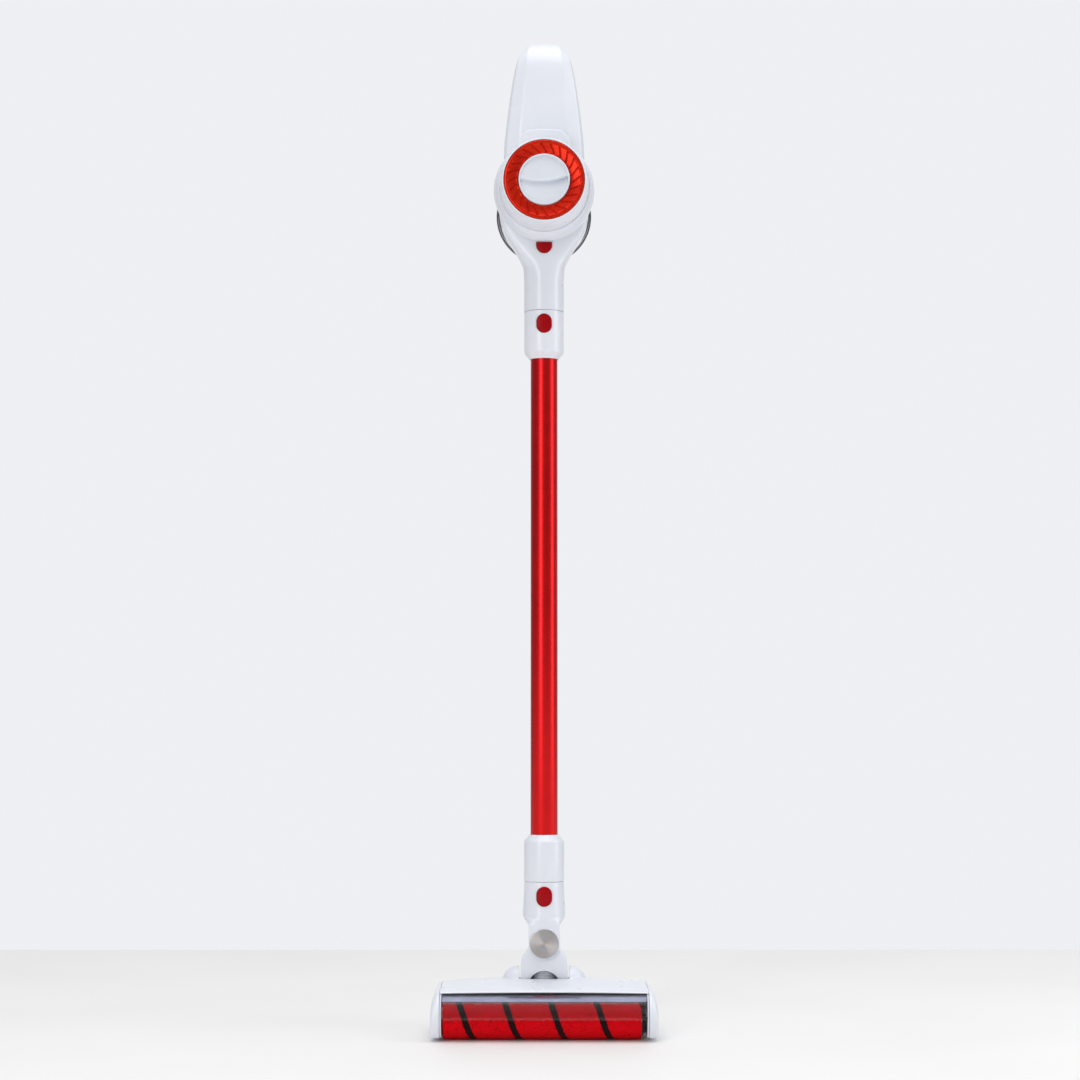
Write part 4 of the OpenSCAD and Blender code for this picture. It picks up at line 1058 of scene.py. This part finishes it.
def makeHoses():
    # the upper hose: rings carried up the axis, radius = middle + height * cosine of the way along
    z = np.linspace(82, 119.2, 150)
    r = 14.0 + 1.0 * np.cos(2 * np.pi * (z - 82) / 4.1)
    outer = np.stack([r, z], -1)
    inner = np.stack([r[::-1] - 1.2, z[::-1]], -1)
    upper = turned("swivelHose", np.vstack([outer, inner]), stickCentre, "z", steps=96, sharp=70)
    finishPiece(upper, "head_neck", "hose_rubber", "swivel_hose")
    upper.parent = None
    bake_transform(upper)
    # the lower hose: down the yoke's bore, tapering, then a ribbed quarter bend forward into the head
    arcLength = hose["bend"] * np.pi / 2
    s = np.linspace(-16, arcLength + 6, 190)
    turn = np.clip(s / hose["bend"], 0, np.pi / 2)
    extra = np.clip(s - arcLength, 0, None)
    y = -hose["bend"] + hose["bend"] * np.cos(turn) - extra
    zc = tiltZ + 1 - hose["bend"] * np.sin(turn) + np.clip(-s, 0, None)
    radius = hose["radius"] - 0.6 + 2.4 * np.clip((8 - s) / 24, 0,
        1) + 0.55 * np.cos(2 * np.pi * s / hose["rib"])
    angle = np.linspace(0, 2 * np.pi, 72, endpoint=False)[None]
    offset = radius[:, None] * np.sin(angle)
    grid = np.stack([radius[:, None] * np.cos(angle), y[:, None] + np.cos(turn)[:, None] * offset,
        zc[:, None] - np.sin(turn)[:, None] * offset], -1)
    lower = sheet("tiltHose", grid + stickCentre, aroundCols=True, sharp=70)
    facing(lower, (0, stickY - 14, tiltZ - 14))
    thicken(lower, 1.2, edge=0.2, sharp=70)
    finishPiece(lower, "swivel_yoke", "hose_rubber", "tilt_hose")
    lower.parent = None
    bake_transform(lower)


makeNeck()
makeSwivelDisc()
makeYoke()
makeHoses()
print("neck and yoke made")

# Floor head

head = {"top": ((-85.6, 52.6), (-84.6, 54.2), (-79.4, 55.9), (-72, 56.9), (-58, 58.0), (-45, 58.9),
    (-20, 60.0), (0, 60.2), (12, 58.4), (19, 52.6), (22.6, 43), (23.5, 30), (23.5, 8.4)), "crown": 5.0,
    "wall": 2.0, "slotX": 28.5, "slotY": -23.4, "earR": 17.4, "earWide": 19.2, "blend": 2.6}


def headDrop(x):
    # the top falls towards both ends by crown * (x / half the width) squared
    return head["crown"] * (np.abs(x) / shellX) ** 2


def makeHeadShell():
    profile = evenly(rounded(head["top"], [2, 6, 12, 12, 12, 25, 25, 12, 8, 8, 8], 8), 170)
    rows = len(profile)
    forward = 0.25 + 0.75 * np.clip((profile[:, 0] + 74) / 24, 0, 1)
    x = np.concatenate([np.linspace(-shellX, -52, 60), np.linspace(-52, 52, 170)[1:-1], np.linspace(52,
        shellX, 60)])
    y = np.broadcast_to(profile[:, 0][:, None], (rows, len(x)))
    z = profile[:, 1][:, None] - headDrop(x)[None] * (forward * np.clip(profile[:, 1] / 58, 0, 1))[:, None]
    # each ear is half an egg over the tilt's axis, joined to the top by a soft maximum
    across = (np.abs(x)[None] - head["slotX"]) / head["earWide"]
    egg = 1 - across ** 2 - (y / head["earR"]) ** 2
    ear = tiltZ + head["earR"] * np.sqrt(np.clip(egg, 0, 1))
    k = head["blend"]
    close = np.clip(k - np.abs(ear - z), 0, None) / k
    joined = np.maximum(z, ear) + close ** 2 * k / 4
    z = np.where((egg > 0) & (profile[:, 1][:, None] > 40), joined, z)
    shell = sheet("headTopShell", np.stack([np.broadcast_to(x, y.shape), y + stickY, z], -1))
    facing(shell, (0, stickY - 30, 20))
    thicken(shell, head["wall"], edge=0.5)
    slot = slab("cutter", roundedBox(2 * head["slotX"], 80, 3.0, 200), (-20, 120), (0, 0), centre=(0,
        stickY + head["slotY"] + 40, 0), axis="z")
    combine(shell, [slot])
    finishPiece(shell, "floor_head", "white_abs", "head_top_shell")
    # the well round the yoke: two cheeks under the ears and the front wall, a duct's mouth in it
    under = [(-25.2, 8.4), (21.4, 8.4), (21.4, 30), (20.3, 42), (17.2, 50.6), (12.5, 62), (6, 70.3),
        (0, 71.9), (-6, 70.3), (-13.5, 61), (-17.5, 56.8), (-25.2, 56.8)]
    for side in (-1, 1):
        cheek = slab("wellCheek" + ("Left" if side < 0 else "Right"), loop(under, [1, 1, 8, 8, 8, 8, 6, 6,
            6, 8, 6, 1], 200), (side * head["slotX"], side * (head["slotX"] + 1.8)), (0.3, 0.3),
            centre=stickCentre, axis="x")
        hole = drill(4.06, (-60, 60), (0, stickY, tiltZ), "x", 48)
        combine(cheek, [hole])
        finishPiece(cheek, "floor_head", "white_abs", "head_top_shell")
    front = slab("wellFront", loop([(-30, 8.4), (30, 8.4), (30, 57), (-30, 57)], 1.0, 160),
        (head["slotY"] - 1.8, head["slotY"]), (0.2, 0.4), centre=stickCentre)
    duct = drill(12.6, (-60, 0), (0, stickY, hose["duct"]), "y", 96)
    combine(front, [duct])
    finishPiece(front, "floor_head", "white_abs", "head_top_shell")


capLook = {"from": 115.1, "to": 125.0, "edge": 4.0, "cornerWide": 9.0, "cornerHigh": 24.0, "reach": 29.3}


def sideOutline(reach, inset, top, bowFrom):
    # the head's outline from the side: a bow round the roller, then along the bottom, up the back and over
    turn = np.radians(np.linspace(bowFrom, 226, 60))
    bow = np.stack([rollerY - stickY + reach * np.cos(turn), rollerZ + reach * np.sin(turn)], -1)
    back = rounded([(-92, 3.6), (12, 3.2 + inset), (21.8 - inset, 9), (21.8 - inset, 30), (20.6 - inset,
        42), (17.2 - inset, top - 6), (10 - inset, top - 1.2), (0, top), (-20, top + 0.2), (-50, top - 0.3),
        (-70, top - 0.1)], [2, 6, 8, 8, 8, 8, 8, 20, 20], 6)[1:-1]
    return evenly(np.vstack([back, bow]), 260, closed=True)


def makeChassis():
    # the roller's chamber, its two cheeks, the floor with slots for the wheels, the duct and the brackets
    def part(piece):
        finishPiece(piece, "floor_head", "white_satin", "head_chassis")

    chamber = arcSheet("chamberWall", 29.2, -48, 88, 112.8)
    thicken(chamber, 1.6, edge=0.3)
    part(chamber)
    spindle = drill(3.06, (-130, 130), (0, rollerY, rollerZ), "x", 48)
    for side in (-1, 1):
        cheek = slab("chamberCheek" + ("Left" if side < 0 else "Right"), sideOutline(28.4, 1.2, 52.4, 104),
            (side * 112.9, side * 114.7), (0.3, 0.3), centre=stickCentre, axis="x")
        hole = spindle.copy()
        hole.data = spindle.data.copy()
        bpy.context.scene.collection.objects.link(hole)
        combine(cheek, [hole])
        part(cheek)
        for at in (48.1, 61.9):
            bracket = slab("wheelBracket", loop([(0.4, 4), (9.6, 4), (9.6, 13), (8.6, 17), (5, 18.4),
                (1.4, 17), (0.4, 13)], [0.5, 0.5, 2, 3, 3, 3, 2], 100), (side * (at - 1.2),
                side * (at + 1.2)), (0.3, 0.3), centre=stickCentre, axis="x")
            axle = drill(2.56, (-80, 80), (0, stickY + 5, 13), "x", 48)
            combine(bracket, [axle])
            part(bracket)
    bpy.data.objects.remove(spindle)
    base = slab("chassisFloor", roundedBox(225.6, 72.4, 2), (3.5, 6), (0.4, 0.4), centre=(0, stickY - 16.6,
        0), axis="z")
    slots = [slab("cutter", roundedBox(11.2, 28.8, 2), (0, 10), (0, 0), centre=(x, stickY + 4.4, 0),
        axis="z") for x in (-55, 55)]
    combine(base, slots)
    part(base)
    duct = turned("chassisDuct", [(12.6, -46), (14.2, -46), (14.2, -25.6), (12.6, -25.6)], (0, stickY,
        hose["duct"]), "y", 96)
    part(duct)


def makeEndCaps():
    # the side outline moves out along x: its edge turns in along a quarter circle, and its height follows a
    # quarter of an oval, so the top outer corner is long and soft
    outline = sideOutline(capLook["reach"], 0, 54.4, 93)
    tangent = np.roll(outline, -1, 0) - np.roll(outline, 1, 0)
    normal = np.stack([tangent[:, 1], -tangent[:, 0]], -1) / np.linalg.norm(tangent, axis=1)[:, None]
    q = np.linspace(0, np.pi / 2, 14)
    x = np.concatenate([[capLook["from"], capLook["from"] + 0.3], np.linspace(116, 120.5, 8), capLook["to"]
        - capLook["edge"] * (1 - np.sin(q))])
    inset = capLook["edge"] * (1 - np.sqrt(np.clip(1 - np.clip((x - capLook["to"]
        + capLook["edge"]) / capLook["edge"], 0, 1) ** 2, 0, 1)))
    inset[0] = 0.4
    corner = np.clip((x - capLook["to"] + capLook["cornerWide"]) / capLook["cornerWide"], 0, 1)
    drop = capLook["cornerHigh"] * (1 - np.sqrt(1 - 0.97 * corner ** 2))
    rings = outline[None] - inset[:, None, None] * normal[None]
    lift = np.clip((rings[..., 1] - 20) / 36, 0, 1)
    z = rings[..., 1] - drop[:, None] * lift
    for side, name, node in ((-1, "leftEndCap", "left_end_cap"), (1, "rightEndCap", "right_end_cap")):
        grid = np.stack([np.broadcast_to(side * x[:, None], z.shape), rings[..., 0] + stickY, z], -1)
        cap = sheet(name, grid, aroundCols=True, capped=True, sharp=45)
        outward(cap)
        finishPiece(cap, "floor_head", "white_abs", node)


visorLook = {"inner": 27.6, "wall": 1.7, "from": 90.5, "to": 182.0, "halfWidth": 112.6}


def arcSheet(name, radius, start, stop, halfWidth, steps=70):
    # a band of a cylinder round the roller's axis
    angle = np.radians(np.linspace(start, stop, steps))[:, None]
    x = np.broadcast_to(np.linspace(-halfWidth, halfWidth, 60)[None], (steps, 60))
    grid = np.stack([x, rollerY + radius * np.cos(angle) + 0 * x, rollerZ + radius * np.sin(angle) + 0 * x],
        -1)
    band = sheet(name, grid)
    facing(band, (0, rollerY, rollerZ))
    return band


def makeVisor():
    visor = arcSheet("visor", visorLook["inner"] + visorLook["wall"], visorLook["from"], visorLook["to"],
        visorLook["halfWidth"])
    thicken(visor, visorLook["wall"], edge=0.5)
    finishPiece(visor, "floor_head", "clear_visor", "visor")
    strip = arcSheet("mirrorStrip", 27.3, 104, 139, 112.2, 34)
    thicken(strip, 0.6, edge=0.2)
    finishPiece(strip, "floor_head", "spun_steel", material=mirrorStrip)


def makeRoller():
    # the pile stands on a radius that tufts push in and out by under a millimetre, and it rounds at its ends
    low, high = lowest("roller_sleeve", "x"), highest("roller_sleeve", "x")
    rng = np.random.default_rng(11)
    rows, cols = 260, 200
    along = np.linspace(0, 1, rows)[:, None]
    angle = np.linspace(0, 2 * np.pi, cols, endpoint=False)[None]
    rough = rng.random((rows, cols))
    soft = (rough + np.roll(rough, 1, 0) + np.roll(rough, 1, 1) + np.roll(rough, (1, 1), (0, 1))) / 4
    x = low + 0.6 + (high - low - 1.2) * along
    turn = (x - rollerLook["stripAt"]) / rollerLook["lead"] + np.arctan2(np.sin(angle),
        -np.cos(angle)) / (2 * np.pi)
    away = np.abs(turn - np.round(turn)) * rollerLook["lead"]
    strip = np.clip((rollerLook["stripWidth"] / 2 + 0.5 - away) / 1.0, 0, 1)
    ends = np.minimum(x - low, high - x)
    radius = 24.9 - 0.9 * soft - 0.25 * strip - 1.8 * np.clip(1 - ends / 2.2, 0, 1) ** 2
    x = x + 0.9 * (rng.random((rows, cols)) - 0.5) * np.clip(1 - ends / 3, 0, 1)
    grid = np.stack([x + 0 * angle, rollerY + radius * np.cos(angle), rollerZ + radius * np.sin(angle)], -1)
    first, last = grid[:1].copy(), grid[-1:].copy()
    for ring, end in ((first, low + 0.7), (last, high - 0.7)):
        ring[..., 0] = end
        ring[..., 1] = rollerY + 21.1 * np.cos(angle)
        ring[..., 2] = rollerZ + 21.1 * np.sin(angle)
    sleeve = sheet("rollerPlush", np.concatenate([first, grid, last]), aroundRows=True, aroundCols=True,
        sharp=180)
    outward(sleeve)
    finishPiece(sleeve, "roller", "plush", "roller_sleeve")


def makeWheels():
    for name, node in (("leftWheel", "wheel_left"), ("rightWheel", "wheel_right")):
        low, high = boxMm(node)
        centre = (low + high) / 2
        r = high[2] - centre[2]
        half = 4.9
        profile = rounded([(0.01, -8), (2.5, -8), (2.5, -half + 1), (r - 3, -half + 1), (r - 3, -half),
            (r, -half), (r, half), (r - 3, half), (r - 3, half - 1), (2.5, half - 1), (2.5, 8), (0.01, 8)],
            [0.3, 0.5, 0.5, 0.3, 1.6, 1.6, 0.3, 0.5, 0.5, 0.3], 5)
        wheel = turned(name, profile, centre, "x", steps=96, closed=False)
        finishPiece(wheel, "left_wheel" if "left" in node else "right_wheel", "wheel_rubber", node)


makeHeadShell()
makeChassis()
makeEndCaps()
makeVisor()
makeRoller()
makeWheels()
print("floor head made")

# Floor, camera and light


def makeFloor():
    # a sheet with a slow swell of a tenth of a millimetre, which ends where a room's wall would stand
    x, y = np.meshgrid(np.linspace(-5000, 5000, 61), np.linspace(-5000, 830, 61))
    grid = np.stack([x, y, -0.15 + 0.1 * np.sin(x / 700) * np.sin(y / 900) - 0.05], -1)
    floor = sheet("floor", grid)
    facing(floor, (0, 0, -1000))
    floor.data.materials.append(paleFloor)


view = {"focal": 76.67, "distance": 2640, "height": 373, "pitch": 3.98, "aside": -4.7}


def makeCamera():
    data = bpy.data.cameras.new("camera")
    data.lens = view["focal"]
    data.sensor_width = 36
    camera = bpy.data.objects.new("camera", data)
    camera.location = (view["aside"] * mm, (stickY - view["distance"]) * mm, view["height"] * mm)
    camera.rotation_euler = (math.radians(90 + view["pitch"]), 0, 0)
    bpy.context.scene.collection.objects.link(camera)
    bpy.context.scene.camera = camera


def makeLight(name, place, target, size, watts, tone):
    data = bpy.data.lights.new(name, "AREA")
    data.shape = "RECTANGLE"
    data.size, data.size_y = size
    data.energy = watts
    data.color = linear(tone)[:3]
    lamp = bpy.data.objects.new(name, data)
    lamp.location = place
    way = np.array(target, float) - np.array(place, float)
    lamp.rotation_euler = (math.acos(-way[2] / np.linalg.norm(way)), 0, math.atan2(-way[0], way[1]))
    bpy.context.scene.collection.objects.link(lamp)


sky = {"tone": "#F5F6FA", "front": 0.34, "behind": 0.60, "above": 0.55}


def makeSky():
    # a studio room: bright wall behind, soft light from the ceiling, and a dimmer side towards the camera
    world = bpy.data.worlds.new("studio")
    world.use_nodes = True
    tree = world.node_tree
    way = addNode(tree, "ShaderNodeTexCoord").outputs["Generated"]
    parts = addNode(tree, "ShaderNodeSeparateXYZ", links={"Vector": way})
    behind = remap(tree, parts.outputs["Y"], 0.70, 0.92, 0.0, sky["behind"])
    above = remap(tree, parts.outputs["Z"], 0.35, 0.90, sky["front"], sky["front"] + sky["above"])
    total = addNode(tree, "ShaderNodeMath", {"operation": "ADD"}, {0: behind, 1: above}).outputs["Value"]
    background = tree.nodes["Background"]
    background.inputs["Color"].default_value = linear(sky["tone"])
    tree.links.new(total, background.inputs["Strength"])
    bpy.context.scene.world = world
    bpy.context.scene.view_settings.view_transform = "Standard"


makeFloor()
makeCamera()
makeLight("key", (-1.22, -2.3, 1.05), (0, 0, 0.6), (0.7, 2.2), 20, "#FFFDFA")
makeLight("rightBank", (1.85, -0.5, 1.05), (0, 0, 0.6), (0.7, 2.2), 12, "#FFFFFF")
makeLight("ceiling", (0, -0.6, 3.2), (0, 0, 0), (2.4, 2.4), 34, "#FFFFFF")
makeSky()
print("stage made")
